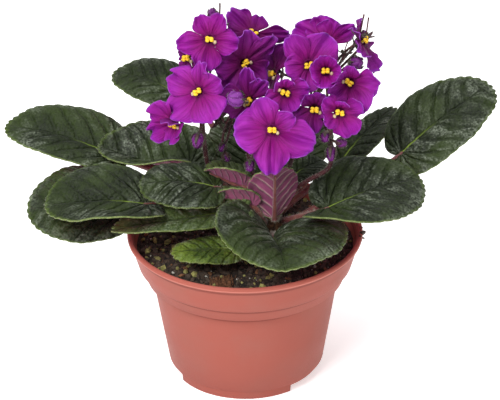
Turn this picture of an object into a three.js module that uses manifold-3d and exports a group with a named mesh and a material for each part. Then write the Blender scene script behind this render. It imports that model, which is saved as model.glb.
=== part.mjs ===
// A potted African violet: a plastic pot full of peat, a short crown, a rosette of
// scalloped heart-shaped leaves on long stalks, and clusters of purple blooms above them.
// Millimetres, +Z up, +Y to the back. The origin is the middle of the pot's flat underside.

import * as THREE from 'three';
import { mergeVertices } from 'three/addons/utils/BufferGeometryUtils.js';
import Module from 'manifold-3d';

const wasm = await Module();
wasm.setup();

// Pot
const POT_HEIGHT = 78;
const POT_SIDES = 32;
const RIM_RADIUS = 60;
const MOUTH_RADIUS = 57.5;
const BAND_BOTTOM = 61.4;
const TIER_BOTTOM = 54;
const FOOT_RADIUS = 37.9;
const FOOT_HEIGHT = 3.8;
const WALL = 2;
const NOTCH_INNER_RADIUS = 26;
const NOTCH_ANGLE = 84;
const NOTCH_CENTRES = [168, 348];
const NOTCH_FLOOR_BOTTOM = 0.5;
const NOTCH_FLOOR_TOP = 6;
const DRAIN_RADIUS = 1.8;
const DRAIN_CIRCLE = 32.5;
const DRAIN_STEP = 24;

// Soil
const SOIL_TOP = 71.5;
const SOIL_EDGE = 55.1;
const SOIL_GAP = 0.35;

// Crown: the short stem that carries every stalk
const CROWN = { x: 12, y: 8, foot: 55, shoulder: 88, cap: 91.5, top: 93, radius: 6.8, neck: 5.2 };
const SEAT_GAP = 0.3;
const SEAT_TILT = 0.6;

// Leaves
const LEAF_THICKNESS = 1;
const LEAF_TEETH_DEPTH = 0.04;
const NOTCH_TURN = 75;
const STALK_RADIUS = 1.9;
const STALK_END_RADIUS = 0.9;
const STALK_RISE = 25;
const STALK_SIDES = 5;
const RIB_DEPTH = 1.2;
const RIB_END_DEPTH = 0.5;
const RIB_SHARE = 0.35;

// The rings of a blade: each one's share of the way from the stalk to the edge, and how many
// facets it has. The last ring has two facets to each scallop.
const BLADE_RINGS = [[0.5, 14], [0.84, 14], [1, 28]];

// Blooms
const PETAL_THICKNESS = 0.7;
const PETAL_FOOT = 0.22;
const PETAL_ROOT = 0.5;
const PETAL_WAIST = 0.45;
const PETAL_WAIST_WIDTH = 0.8;
const PETAL_ROUNDING = 0.3;
const PETAL_TWIST = 0.2;
const PETAL_ROWS = [[0, [-1, 1]], [PETAL_WAIST, [-1, 0, 1]], [1, [-1, -0.55, 0, 0.55, 1]]];
const THROAT_RADIUS = 2.4;
const THROAT_DEPTH = 2.3;
const THROAT_SIDES = 10;
const THROAT_RINGS = [[1.2, -1.6], [2.6, 0.1]];
const ANTHER_REACH = [2.3, 1.5, 1.4];
const ANTHER_WAIST = 0.65;
const ANTHER_LIFT = 2.2;
const FILAMENT = { radius: 0.5, length: 3.2, middle: 0.4 };
const CALYX_SEAT = 0.5;
const CALYX_LENGTH = 2.6;
const CALYX_RADIUS = 4.6;
const CALYX_NOTCH_RADIUS = 1.93;
const BUD_SEAT = 1.2;
const PEDICEL_RADIUS = 0.75;
const PEDICEL_SEAT = 0.8;
const PEDICEL_BEND = 7;
const PEDUNCLE_RADIUS = 1.25;

// Five petals round the throat: two upper ones, shorter, and three lower ones. Each is given
// by its direction, its length and its half width as shares of the bloom's size. The blooms
// that the photo shows well have petals of their own further down.
const PETALS = [
  { angle: 58, length: 0.84, half: 0.38 },
  { angle: 122, length: 0.84, half: 0.38 },
  { angle: 192, length: 0.98, half: 0.48 },
  { angle: 270, length: 1, half: 0.5 },
  { angle: 348, length: 0.98, half: 0.48 },
];

// Every leaf: where the stalk meets the blade, the blade's tip, how far its middle arches up,
// and the direction and height at which its stalk leaves the crown. Each half of a blade has
// its width, how many degrees it lifts at the base and at the tip, how much more it lifts
// towards the edge, and how full its lobe is (1 is plain, less reaches further back).
const half = (width, lift, curl = 0, lobe = 1) => ({ width, lift, curl, lobe });
const LEAVES = {
  leaf_back_left: { base: [-30, 58, 124], tip: [-69, 75, 129.5], arch: 3, root: [128, 75],
    left: half(13, [-2, -6], -6), right: half(22, [14, 8]) },
  leaf_left_long: { base: [-66, 34, 103.5], tip: [-123, 49, 114.5], arch: 3, root: [166, 80.5],
    left: half(20, [-2, -8], 4), right: half(22, [20, 14]) },
  leaf_left_folded: { base: [-28, 25, 101], tip: [-75, 36, 109.5], arch: -3, root: [152, 86],
    left: half(17, [46, 14], 6), right: half(23, [36, 24]) },
  leaf_left_low: { base: [-60, -1, 91], tip: [-110, -6, 94], arch: 2, root: [192, 75],
    left: half(23, [-12, -20], -6), right: half(30, [18, 20]) },
  leaf_left_broad: { base: [-50, -10, 99.5], tip: [-100, -19, 103], arch: 3, root: [204, 80.5], rise: 50,
    left: half(27, [0, -6], 14, 0.8), right: half(25, [24, 16], 0, 0.8) },
  leaf_left_upper: { base: [-17, -3, 103], tip: [-53, -6, 108], arch: 3, root: [188, 86],
    left: half(22, [8, -6], -8), right: half(20, [20, 10]) },
  leaf_front_left: { base: [-9, -8, 91.3], tip: [-67, -26, 93.5], arch: 0, root: [236, 80.5],
    left: half(14, [6, 0]), right: half(9, [-24, -12]) },
  leaf_front_small: { base: [-4, -25, 82], tip: [-37, -31, 83], arch: 1, root: [250, 75],
    left: half(12, [-14, -10]), right: half(12, [4, 0]) },
  leaf_front_heart: { base: [14, -17, 83], tip: [20, -59, 89], arch: 3, root: [284, 75],
    left: half(36, [26, 6], -10, 0.8), right: half(36, [50, 10], -8, 0.6) },
  leaf_right_broad: { base: [42, -10, 96], tip: [91, 5, 104], arch: 3, root: [334, 80.5], notch: 83,
    left: half(29, [18, 10]), right: half(27, [20, -16], 0, 0.42) },
  leaf_right_long: { base: [80.5, 34, 103], tip: [129, 60, 128], arch: 3, root: [12, 75], notch: 83,
    left: half(25, [22, 18], 0, 1.5), right: half(21, [-16, -16], 0, 0.8) },
  leaf_right_back: { base: [50, 41, 95], tip: [79, 71, 112], arch: 3, root: [40, 80.5],
    left: half(10, [6, 0]), right: half(11, [4, 0]) },
  leaf_back_small: { base: [24, 23, 96], tip: [42, 39, 96], arch: 2, root: [60, 86],
    left: half(13, [20, 10]), right: half(12, [6, 0]) },
  leaf_back_tall: { base: [4, 29, 98], tip: [-1, 57, 116], arch: 2, root: [104, 80.5],
    left: half(14, [10, 0]), right: half(15, [10, 0]) },
  leaf_back_low: { base: [27, 50, 90], tip: [33, 84, 98], arch: 3, root: [72, 75],
    left: half(18, [8, 4]), right: half(18, [8, 4]) },
  leaf_young_left: { base: [0, 4, 101.5], tip: [-19, 4, 109.5], arch: 0, root: [218, 86],
    left: half(12, [62, 50]), right: half(11, [30, 20]) },
  leaf_young_front: { base: [4, -5, 95.5], tip: [-11, -9, 104], arch: 1, root: [256, 83],
    left: half(9, [58, 40]), right: half(7, [20, 10]) },
  leaf_young_right: { base: [17, -4, 98], tip: [19, -10, 120], arch: 0, root: [300, 86],
    left: half(12, [24, 10]), right: half(12, [24, 10]) },
};

// Every bloom: the middle of its face, the direction that it faces (degrees round from +X,
// and degrees up), its turn about that direction, the length of its lower petals, how far
// its petals close (0 flat, 90 shut), and how far their ends roll back.
const BLOOMS = {
  bloom_top_left: { at: [-16.5, 13, 179.6], faces: [268, 25], turn: -4, size: 17, cup: 12, roll: 0.1 },
  bloom_top_left_rear: { at: [-27.5, 28, 162.6], faces: [235, 5], turn: 0, size: 11.5, cup: 20, roll: 0.1 },
  bloom_left: { at: [-22, -1, 158], faces: [246, 18], turn: 12, size: 20, cup: 18, roll: 0.12 },
  bloom_left_side: { at: [-34.6, 1.6, 139], faces: [215, -15], turn: 20, size: 17, cup: 42, roll: 0.05 },
  bloom_upper_middle: { at: [0.5, 17, 164.4], faces: [294, 5], turn: 22, size: 17.2, cup: 18, roll: 0.1 },
  bloom_top_rear: { at: [5.6, 34, 172], faces: [262, 38], turn: 0, size: 17, cup: 10, roll: 0.05 },
  bloom_middle: { at: [3, 5, 149.5], faces: [255, 10], turn: 30, size: 11, cup: 24, roll: 0.1 },
  bloom_middle_side: { at: [16, 28, 152.5], faces: [200, 16], turn: 0, size: 13, cup: 30, roll: 0.1 },
  bloom_front: { at: [14, -9, 140], faces: [272, 24], turn: -8, size: 22, cup: 12, roll: 0.12 },
  bloom_front_right: { at: [20.5, 1.5, 155.6], faces: [280, 12], turn: -52, size: 13.5, cup: 14, roll: 0.1 },
  bloom_right_inner: { at: [35.5, 2.8, 145.4], faces: [268, 12], turn: -10, size: 10, cup: 34, roll: 0.1 },
  bloom_right_low: { at: [47.5, -9, 149.5], faces: [276, 14], turn: 10, size: 15, cup: 24, roll: 0.2 },
  bloom_right: { at: [55.8, 7, 157.7], faces: [250, 24], turn: -20, size: 16, cup: 20, roll: 0.15 },
  bloom_right_cup: { at: [41, 0, 167.5], faces: [268, 34], turn: 0, size: 10, cup: 58, roll: 0.0 },
  bloom_upper_right: { at: [33, 16.5, 163], faces: [270, 22], turn: 4, size: 19.3, cup: 14, roll: 0.1 },
  bloom_top_right_rear: { at: [43, 42, 162], faces: [262, 28], turn: 0, size: 17, cup: 24, roll: 0.1 },
  bloom_far_right: { at: [61, 24, 172], faces: [352, 30], turn: 0, size: 18, cup: 16, roll: 0.1 },
};

// The petals of the blooms that are seen well: the direction of each in degrees, its length,
// its half width, its lift out of the bloom's face in degrees, and its twist.
const OWN_PETALS = {
  bloom_front: [
    [32, 15, 6.2, 26, 0.5], [112, 18.5, 8, 14, -0.2], [181, 20, 11.5, 8, 0.2],
    [266, 23, 9, 6, 0.1], [338, 24, 10.2, 8, -0.25]],
  bloom_left: [
    [48, 16, 4.4, 36, 0.7], [86, 17, 5.2, 20, -0.4], [160, 19, 8.2, 12, 0.3],
    [226, 21, 10.5, 8, 0.15], [306, 17, 9.5, 14, -0.2]],
  bloom_top_left: [
    [62, 14.5, 5.3, 14, -0.3], [114, 14.5, 5, 12, 0.3], [189, 18.5, 6.2, 10, 0.2],
    [262, 17, 7.6, 8, -0.15], [350, 15.5, 7, 12, 0.25]],
  bloom_upper_middle: [
    [40, 15, 3.6, 44, 1], [86, 19, 8.4, 14, 0.1], [160, 15, 7.5, 16, 0.2],
    [230, 15, 8.5, 16, 0.2], [292, 15, 9, 18, -0.2]],
  bloom_upper_right: [
    [52, 19.5, 10, 14, 0.15], [124, 19.5, 7.2, 16, -0.35], [184, 14, 7, 26, 0.3],
    [262, 15, 8, 18, 0.1], [332, 16, 8, 22, -0.2]],
  bloom_top_rear: [
    [14, 18, 4.2, 14, 0.7], [92, 15.5, 8.5, 12, -0.2], [130, 17.5, 9, 8, 0.2],
    [206, 13, 7, 16, 0.2], [300, 12, 7, 18, -0.2]],
  bloom_top_right_rear: [
    [34, 19, 4.6, 20, 0.8], [80, 13.5, 7.5, 14, 0.1], [118, 17, 8.5, 12, -0.1],
    [160, 18, 7.5, 10, 0.2], [268, 13, 7, 18, 0.1]],
  bloom_middle: [
    [58, 14, 4.6, 28, 0.4], [94, 16, 5.4, 24, -0.3], [180, 9.9, 7, 16, 0.2],
    [238, 14, 8, 16, 0.2], [318, 11, 6, 24, -0.2]],
  bloom_right_inner: [
    [58, 9, 4.2, 42, -0.4], [126, 9.2, 4.2, 40, 0.4], [200, 10, 4.8, 30, 0.2],
    [266, 14, 5.6, 18, 0.2], [334, 9, 4, 42, 0.3]],
  bloom_right: [
    [6, 15.5, 8, 12, 0.3], [84, 11, 5.5, 40, -0.5], [150, 9, 5, 50, 0.5],
    [222, 12, 6.5, 26, -0.2], [300, 15.5, 8.5, 12, 0.2]],
  bloom_right_low: [
    [12, 13, 7, 20, 0.4], [76, 9, 4.6, 46, -0.6], [150, 9, 4.4, 44, 0.6],
    [222, 12, 6.5, 30, -0.4], [296, 15, 8.2, 14, 0.3]],
  bloom_front_right: [
    [2, 13.4, 6.8, 12, 0.2], [74, 9.5, 4, 40, -0.6], [130, 9.5, 4, 42, 0.5],
    [206, 12, 6, 24, 0.2], [290, 12, 6.2, 20, -0.2]],
};

// Buds: the middle of each, the direction it points, and its radius and length.
const BUDS = {
  bud_big: { at: [-4, -4, 155], points: [320, 20], size: [4.2, 9.5] },
  bud_hooked: { at: [-23, 1, 129], points: [250, -50], size: [3.4, 8] },
  bud_top: { at: [-17, 28, 187], points: [250, 60], size: [3, 8] },
  bud_dark: { at: [57, 16, 164], points: [300, 30], size: [3.2, 8] },
  bud_right_a: { at: [40.5, -3, 132], points: [265, -10], size: [2.5, 6] },
  bud_right_b: { at: [49, -3, 129], points: [320, 10], size: [2.5, 6] },
  bud_right_c: { at: [43.5, -4, 123.5], points: [265, -50], size: [2.6, 8] },
  bud_front: { at: [3, -6, 118], points: [262, -20], size: [2.8, 6.5] },
  bud_small_a: { at: [-11, 14, 118], points: [240, -20], size: [2, 5] },
  bud_small_b: { at: [-9, 13, 113], points: [300, -40], size: [2, 5] },
};

// Clusters: each stands on one stalk from the crown (its root's direction and height, then
// the points it passes, the last being where it forks) and carries the blooms and buds named.
const CLUSTERS = {
  cluster_left: { root: [168, 90.5],
    path: [[-6, 11, 98], [-17, 13.5, 106], [-20, 11, 122], [-21, 12, 140]],
    carries: ['bloom_top_left', 'bloom_top_left_rear', 'bloom_left', 'bloom_left_side',
      'bud_hooked', 'bud_top'] },
  cluster_middle: { root: [140, 90.5], path: [[3, 17, 108], [1, 18, 128], [1, 19, 140]],
    carries: ['bloom_upper_middle', 'bloom_top_rear', 'bloom_middle', 'bud_big',
      'bud_small_a', 'bud_small_b'] },
  cluster_front: { root: [300, 90], path: [[14.5, 1.5, 103], [10, 2, 115], [12, 3, 126]],
    carries: ['bloom_front', 'bloom_front_right', 'bud_front'] },
  cluster_right: { root: [345, 90.5], path: [[30, 3, 103], [43, 2, 113], [43, 3, 128]],
    carries: ['bloom_right_low', 'bloom_right_inner', 'bloom_right', 'bloom_right_cup',
      'bud_right_a', 'bud_right_b', 'bud_right_c'] },
  cluster_rear: { root: [45, 90.5], path: [[25, 22, 108], [33, 28, 126], [35, 30, 134]],
    carries: ['bloom_upper_right', 'bloom_top_right_rear', 'bloom_far_right',
      'bloom_middle_side', 'bud_dark'] },
};

const COLOURS = {
  pot: [0xb8634f, 0.55],
  soil: [0x241b14, 0.95],
  crown: [0x6b4a34, 0.85],
  leaf: [0x2f4526, 0.7],
  stalk: [0x6a2430, 0.7],
  petal: [0x9326a0, 0.6],
  anther: [0xffd23a, 0.6],
};

const UP = new THREE.Vector3(0, 0, 1);
const radians = THREE.MathUtils.degToRad;
const lerp = THREE.MathUtils.lerp;
const point = ([x, y, z]) => new THREE.Vector3(x, y, z);

// A direction from degrees round +Z, measured from +X, and degrees above level.
function heading([round, rise]) {
  const flat = Math.cos(radians(rise));
  return new THREE.Vector3(
    flat * Math.cos(radians(round)), flat * Math.sin(radians(round)), Math.sin(radians(rise)));
}

// Three directions square to each other: forward, and the two across it, as level as can be.
function frameAlong(forward) {
  const ahead = forward.clone().normalize();
  const side = new THREE.Vector3().crossVectors(UP, ahead).normalize();
  return { ahead, side, over: new THREE.Vector3().crossVectors(ahead, side) };
}

function solidFromTriangles(points, triangles) {
  const vertProperties = new Float32Array(points.flatMap((p) => [p.x, p.y, p.z]));
  const triVerts = new Uint32Array(triangles.flat());
  const solid = new wasm.Manifold(new wasm.Mesh({ numProp: 3, vertProperties, triVerts }));
  if (solid.volume() > 0) return solid;
  const turned = new Uint32Array(triangles.flatMap(([a, b, c]) => [a, c, b]));
  return new wasm.Manifold(new wasm.Mesh({ numProp: 3, vertProperties, triVerts: turned }));
}

function solidFromGeometry(geometry) {
  const bare = geometry.clone();
  bare.deleteAttribute('normal');
  bare.deleteAttribute('uv');
  const welded = mergeVertices(bare, 1e-4);
  const place = welded.getAttribute('position');
  const points = [];
  for (let i = 0; i < place.count; i += 1) {
    points.push(new THREE.Vector3().fromBufferAttribute(place, i));
  }
  const triangles = [];
  const corners = welded.getIndex();
  for (let i = 0; i < corners.count; i += 3) {
    const face = [corners.getX(i), corners.getX(i + 1), corners.getX(i + 2)];
    if (new Set(face).size === 3) triangles.push(face);
  }
  return solidFromTriangles(points, triangles);
}

// The same solid without the closed pockets that crossing stalks leave inside it.
function filled(solid) {
  return wasm.Manifold.compose(solid.decompose().filter((shell) => shell.volume() > 0));
}

function geometryFromSolid(solid) {
  const mesh = solid.getMesh();
  const geometry = new THREE.BufferGeometry();
  geometry.setAttribute('position', new THREE.BufferAttribute(mesh.vertProperties, 3));
  geometry.setIndex(new THREE.BufferAttribute(mesh.triVerts, 1));
  geometry.computeVertexNormals();
  return geometry;
}

// A turned shape from [radius, height] pairs that start and end on the axis.
function turned(profile, sides) {
  const geometry = new THREE.LatheGeometry(profile.map(([r, z]) => new THREE.Vector2(r, z)), sides);
  return geometry.rotateX(Math.PI / 2);
}

// A flat sector of a ring, from one height to another.
function ringSector(inner, outer, centre, angle, bottom, top) {
  const from = radians(centre - angle / 2);
  const to = radians(centre + angle / 2);
  const shape = new THREE.Shape();
  shape.absarc(0, 0, outer, from, to, false);
  shape.absarc(0, 0, inner, to, from, true);
  const depth = top - bottom;
  const block = new THREE.ExtrudeGeometry(shape, { depth, bevelEnabled: false, curveSegments: 8 });
  return solidFromGeometry(block.translate(0, 0, bottom));
}

// A skin of triangles made into a blade: both faces have the same triangles, and a strip
// closes every free edge.
function thicken(points, triangles, thickness) {
  const normals = points.map(() => new THREE.Vector3());
  for (const face of triangles) {
    const [a, b, c] = face.map((i) => points[i]);
    const normal = b.clone().sub(a).cross(c.clone().sub(a));
    for (const i of face) normals[i].add(normal);
  }
  const count = points.length;
  const offset = (sign) => points.map((p, i) => (
    p.clone().addScaledVector(normals[i].clone().normalize(), sign * thickness / 2)));
  const faces = [];
  const edges = new Map();
  for (const [a, b, c] of triangles) {
    faces.push([a, b, c], [a + count, c + count, b + count]);
    for (const [i, j] of [[a, b], [b, c], [c, a]]) edges.set(`${i} ${j}`, [i, j]);
  }
  for (const [i, j] of edges.values()) {
    if (edges.has(`${j} ${i}`)) continue;
    faces.push([i, i + count, j + count], [i, j + count, j]);
  }
  return solidFromTriangles([...offset(1), ...offset(-1)], faces);
}

// A round stem along a curve, with a radius that may change from its foot to its end.
function stem(curve, steps, sides, footRadius, endRadius) {
  const rings = [];
  let side = frameAlong(curve.getTangentAt(0)).side;
  if (side.length() < 0.5) side = new THREE.Vector3(1, 0, 0);
  for (let k = 0; k <= steps; k += 1) {
    const middle = curve.getPointAt(k / steps);
    const ahead = curve.getTangentAt(k / steps);
    side = side.clone().addScaledVector(ahead, -side.dot(ahead)).normalize();
    const over = new THREE.Vector3().crossVectors(ahead, side);
    const radius = lerp(footRadius, endRadius, k / steps);
    for (let i = 0; i < sides; i += 1) {
      const angle = 2 * Math.PI * i / sides;
      rings.push(middle.clone().addScaledVector(side, radius * Math.cos(angle))
        .addScaledVector(over, radius * Math.sin(angle)));
    }
  }
  const triangles = [];
  for (let k = 0; k < steps; k += 1) {
    for (let i = 0; i < sides; i += 1) {
      const a = k * sides + i;
      const b = k * sides + (i + 1) % sides;
      triangles.push([a, b, b + sides], [a, b + sides, a + sides]);
    }
  }
  const last = steps * sides;
  for (let i = 1; i < sides - 1; i += 1) {
    triangles.push([0, i + 1, i], [last, last + i, last + i + 1]);
  }
  return solidFromTriangles(rings, triangles);
}

// The pot's wall steps out twice below its band and rolls over at the rim. Its foot is two
// arcs with a notch between them at each side, and a raised floor with drain holes there.
function makePot() {
  const outside = [
    [0, 0], [FOOT_RADIUS, 0], [FOOT_RADIUS + 0.3, FOOT_HEIGHT], [39.9, 6.2],
    [47.6, TIER_BOTTOM - 0.6], [50.7, TIER_BOTTOM], [52.5, BAND_BOTTOM - 0.6],
    [54.6, BAND_BOTTOM], [58.3, 74.9], [RIM_RADIUS - 0.7, 75.4], [RIM_RADIUS, 76.8],
    [59.1, POT_HEIGHT]];
  const inside = [
    [58.2, POT_HEIGHT], [MOUTH_RADIUS, 77], [56.2, 74.2], [52.6, 61], [48.7, 54.5],
    [45.7, 53], [37.9, 6.8], [FOOT_RADIUS - WALL, 6.4], [FOOT_RADIUS - WALL, WALL],
    [0, WALL]];
  let pot = solidFromGeometry(turned([...outside, ...inside], POT_SIDES));
  for (const centre of NOTCH_CENTRES) {
    const floor = ringSector(NOTCH_INNER_RADIUS, FOOT_RADIUS, centre, NOTCH_ANGLE + 6,
      NOTCH_FLOOR_BOTTOM, NOTCH_FLOOR_TOP);
    const recess = ringSector(NOTCH_INNER_RADIUS + WALL, RIM_RADIUS, centre, NOTCH_ANGLE,
      -1, FOOT_HEIGHT);
    pot = pot.add(floor).subtract(recess);
    for (const step of [-DRAIN_STEP, 0, DRAIN_STEP]) {
      const place = heading([centre + step, 0]).multiplyScalar(DRAIN_CIRCLE);
      const hole = turned([[0, 2], [DRAIN_RADIUS, 2], [DRAIN_RADIUS, 8], [0, 8]], 10);
      pot = pot.subtract(solidFromGeometry(hole.translate(place.x, place.y, 0)));
    }
  }
  return pot;
}

// Gentle lumps in the soil, out from the pot's middle.
function soilHeight(radius, angle) {
  const lumps = 0.8 * Math.sin(3 * angle + radius / 9) + 0.6 * Math.cos(5 * angle - radius / 6);
  const mound = 1.2 * Math.cos(Math.PI * Math.min(radius / 40, 1));
  return SOIL_TOP + lumps + mound;
}

// The soil fills the pot with a hair's gap to its wall, and has a hole for the crown.
function makeSoil() {
  const floor = WALL + SOIL_GAP;
  const profile = [
    [0, floor], [35.4, floor], [35.4, 6.9], [37.3, 7.1], [45, 53.4], [48, 54.9],
    [52, 61.5], [SOIL_EDGE, SOIL_TOP], [44, SOIL_TOP], [31, SOIL_TOP], [17, SOIL_TOP],
    [0, SOIL_TOP]];
  const geometry = turned(profile, POT_SIDES);
  const place = geometry.getAttribute('position');
  for (let i = 0; i < place.count; i += 1) {
    const radius = Math.hypot(place.getX(i), place.getY(i));
    if (place.getZ(i) > SOIL_TOP - 0.1 && radius < SOIL_EDGE - 1) {
      const angle = radius < 1 ? 0 : Math.atan2(place.getY(i), place.getX(i));
      place.setZ(i, soilHeight(radius, angle));
    }
  }
  let soil = solidFromGeometry(geometry);
  for (const centre of NOTCH_CENTRES) {
    soil = soil.subtract(ringSector(
      NOTCH_INNER_RADIUS - SOIL_GAP, RIM_RADIUS, centre, NOTCH_ANGLE + 8,
      -1, NOTCH_FLOOR_TOP + SOIL_GAP));
  }
  const around = CROWN.radius + SEAT_GAP;
  const below = CROWN.foot - SEAT_GAP;
  const hole = turned([[0, below], [around, below], [around, CROWN.top], [0, CROWN.top]], 16);
  return soil.subtract(solidFromGeometry(hole.translate(CROWN.x, CROWN.y, 0)));
}

function makeCrown() {
  const { x, y, foot, shoulder, cap, top, radius, neck } = CROWN;
  const profile = [[0, foot], [radius - 1.5, foot], [radius, foot + 6], [radius, shoulder],
    [neck, cap], [0, top]];
  return solidFromGeometry(turned(profile, 16).translate(x, y, 0));
}

// The foot of a stalk, just clear of the crown's bark.
function seatOnCrown([round, height], radius) {
  const share = THREE.MathUtils.smoothstep(height, CROWN.shoulder, CROWN.cap);
  const bark = lerp(CROWN.radius, CROWN.neck, share);
  return new THREE.Vector3(CROWN.x, CROWN.y, height)
    .addScaledVector(heading([round, 0]), bark + SEAT_GAP + SEAT_TILT * radius);
}

// A leaf's middle surface, from distances along its rib and across it (left is positive).
function bladeSurface({ base, tip, arch, left, right }) {
  const start = point(base);
  const run = point(tip).sub(start);
  const length = run.length();
  const { ahead, side, over } = frameAlong(run);
  return {
    length, ahead, over,
    at(along, across) {
      const share = along / length;
      const { width, lift, curl } = across >= 0 ? left : right;
      const reach = Math.abs(across);
      const rise = radians(lerp(...lift, share) + curl * reach / width);
      return start.clone()
        .addScaledVector(ahead, along)
        .addScaledVector(over, arch * 4 * share * (1 - share) + reach * Math.sin(rise))
        .addScaledVector(side, Math.sign(across) * reach * Math.cos(rise));
    },
  };
}

// Where the heart-shaped outline lies: k runs from -1 to 1 round the edge, and out from 0
// at the stalk to 1 at the edge. A cardioid has a violet leaf's outline, notch and all, and
// a power of it has fuller lobes.
function heartPoint(k, out, length, { width, lobe }, notch) {
  const reach = (angle) => ((1 + Math.cos(angle)) / 2) ** lobe;
  const angle = 2 * Math.asin(k * Math.sin(radians(notch)));
  const widest = Math.acos(lobe / (lobe + 1));
  const across = reach(angle) * Math.sin(angle) / (reach(widest) * Math.sin(widest));
  return [length * out * reach(angle) * Math.cos(angle), width * out * across];
}

function makeBlade(leaf) {
  const surface = bladeSurface(leaf);
  const points = [surface.at(0, 0)];
  const triangles = [];
  let previous = [];
  for (const [out, rays] of BLADE_RINGS) {
    const ring = [];
    for (let i = 0; i <= rays; i += 1) {
      const tooth = out === 1 && i % 2 === 1 ? LEAF_TEETH_DEPTH : 0;
      const k = 2 * i / rays - 1;
      const side = k < 0 ? leaf.right : leaf.left;
      const [along, across] = heartPoint(
        k, out * (1 - tooth), surface.length, side, leaf.notch ?? NOTCH_TURN);
      ring.push(points.length);
      points.push(surface.at(along, across));
    }
    if (previous.length === 0) {
      for (let i = 0; i < rays; i += 1) triangles.push([0, ring[i], ring[i + 1]]);
    } else if (previous.length === ring.length) {
      for (let i = 0; i < rays; i += 1) {
        triangles.push([previous[i], ring[i], ring[i + 1]]);
        triangles.push([previous[i], ring[i + 1], previous[i + 1]]);
      }
    } else {
      for (let i = 0; i < previous.length - 1; i += 1) {
        triangles.push([previous[i], ring[2 * i], ring[2 * i + 1]]);
        triangles.push([previous[i], ring[2 * i + 1], previous[i + 1]]);
        triangles.push([previous[i + 1], ring[2 * i + 1], ring[2 * i + 2]]);
      }
    }
    previous = ring;
  }
  return thicken(points, triangles, LEAF_THICKNESS);
}

// The stalk leaves the crown outwards, bends up to the blade and runs on under its rib.
function makeLeafStalk(leaf) {
  const surface = bladeSurface(leaf);
  const foot = seatOnCrown(leaf.root, STALK_RADIUS);
  const join = surface.at(0, 0).addScaledVector(surface.over, -RIB_DEPTH);
  const reach = foot.distanceTo(join);
  const out = heading([leaf.root[0], leaf.rise ?? STALK_RISE]);
  const bend = new THREE.CubicBezierCurve3(
    foot, foot.clone().addScaledVector(out, reach * 0.4),
    join.clone().addScaledVector(surface.ahead, -reach * 0.3), join);
  const ribEnd = surface.at(surface.length * RIB_SHARE, 0)
    .addScaledVector(surface.over, -RIB_END_DEPTH);
  const route = new THREE.CatmullRomCurve3([...bend.getPoints(5), ribEnd]);
  return stem(route, 6, STALK_SIDES, STALK_RADIUS, STALK_END_RADIUS);
}

function makeLeaf(leaf) {
  return makeBlade(leaf).add(makeLeafStalk(leaf));
}

// A bloom's own directions: out of its face, to its right, and towards its upper petals.
function bloomFrame({ at, faces, turn }) {
  const { ahead, side, over } = frameAlong(heading(faces));
  const right = side.clone().applyAxisAngle(ahead, radians(turn));
  const above = over.clone().applyAxisAngle(ahead, radians(turn));
  const middle = point(at);
  return {
    ahead, right, above, middle,
    place: (x, y, z) => middle.clone()
      .addScaledVector(right, x).addScaledVector(above, y).addScaledVector(ahead, z),
  };
}

// A petal's surface: out from the throat, and across it from -1 to 1.
function petalPoint(frame, roll, petal, out, across) {
  const [degrees, fullLength, halfWidth, lift, twist] = petal;
  const width = out < PETAL_WAIST
    ? lerp(PETAL_FOOT, PETAL_WAIST_WIDTH, out / PETAL_WAIST)
    : lerp(PETAL_WAIST_WIDTH, 1, (out - PETAL_WAIST) / (1 - PETAL_WAIST));
  const length = fullLength - THROAT_RADIUS;
  const lateral = across * width * halfWidth;
  const radial = length * out * (1 - PETAL_ROUNDING * out * across * across);
  const cup = radians(lift);
  const height = radial * Math.sin(cup) - roll * length * out * out + twist * lateral * out;
  const angle = radians(degrees);
  const distance = THROAT_RADIUS - PETAL_ROOT * (1 - out) + radial * Math.cos(cup);
  const sideways = lateral * Math.cos(cup * across * across / 2);
  return frame.place(
    distance * Math.cos(angle) - sideways * Math.sin(angle),
    distance * Math.sin(angle) + sideways * Math.cos(angle), height);
}

// A petal as a sheet in three rows: its foot in the throat's wall, its waist and its end.
function makePetal(frame, roll, petal) {
  const points = [];
  const [foot, waist, end] = PETAL_ROWS.map(([out, stations]) => stations.map((across) => {
    points.push(petalPoint(frame, roll, petal, out, across));
    return points.length - 1;
  }));
  const triangles = [
    [foot[0], waist[0], waist[1]], [foot[0], waist[1], foot[1]], [foot[1], waist[1], waist[2]]];
  for (const k of [0, 1]) {
    triangles.push([waist[k], end[2 * k], end[2 * k + 1]]);
    triangles.push([waist[k], end[2 * k + 1], waist[k + 1]]);
    triangles.push([waist[k + 1], end[2 * k + 1], end[2 * k + 2]]);
  }
  return thicken(points, triangles, PETAL_THICKNESS);
}

// The short cup that the petals grow together into.
function makeThroat(frame) {
  const points = [frame.place(0, 0, -THROAT_DEPTH)];
  for (const [radius, height] of THROAT_RINGS) {
    for (let i = 0; i < THROAT_SIDES; i += 1) {
      const angle = 2 * Math.PI * i / THROAT_SIDES;
      points.push(frame.place(radius * Math.cos(angle), radius * Math.sin(angle), height));
    }
  }
  const triangles = [];
  for (let i = 0; i < THROAT_SIDES; i += 1) {
    const here = 1 + i;
    const next = 1 + (i + 1) % THROAT_SIDES;
    triangles.push([0, here, next]);
    triangles.push([here, here + THROAT_SIDES, next + THROAT_SIDES]);
    triangles.push([here, next + THROAT_SIDES, next]);
  }
  return thicken(points, triangles, PETAL_THICKNESS);
}

function makeCorolla(name, { at, faces, turn, size, cup, roll }) {
  const frame = bloomFrame({ at, faces, turn: 0 });
  const shapes = OWN_PETALS[name] ?? PETALS.map(({ angle, length, half: halfShare }) => (
    [angle + turn, length * size, halfShare * size, cup, PETAL_TWIST]));
  const petals = shapes.map((petal) => makePetal(frame, roll, petal));
  return filled(petals.reduce((corolla, petal) => corolla.add(petal), makeThroat(frame)));
}

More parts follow.
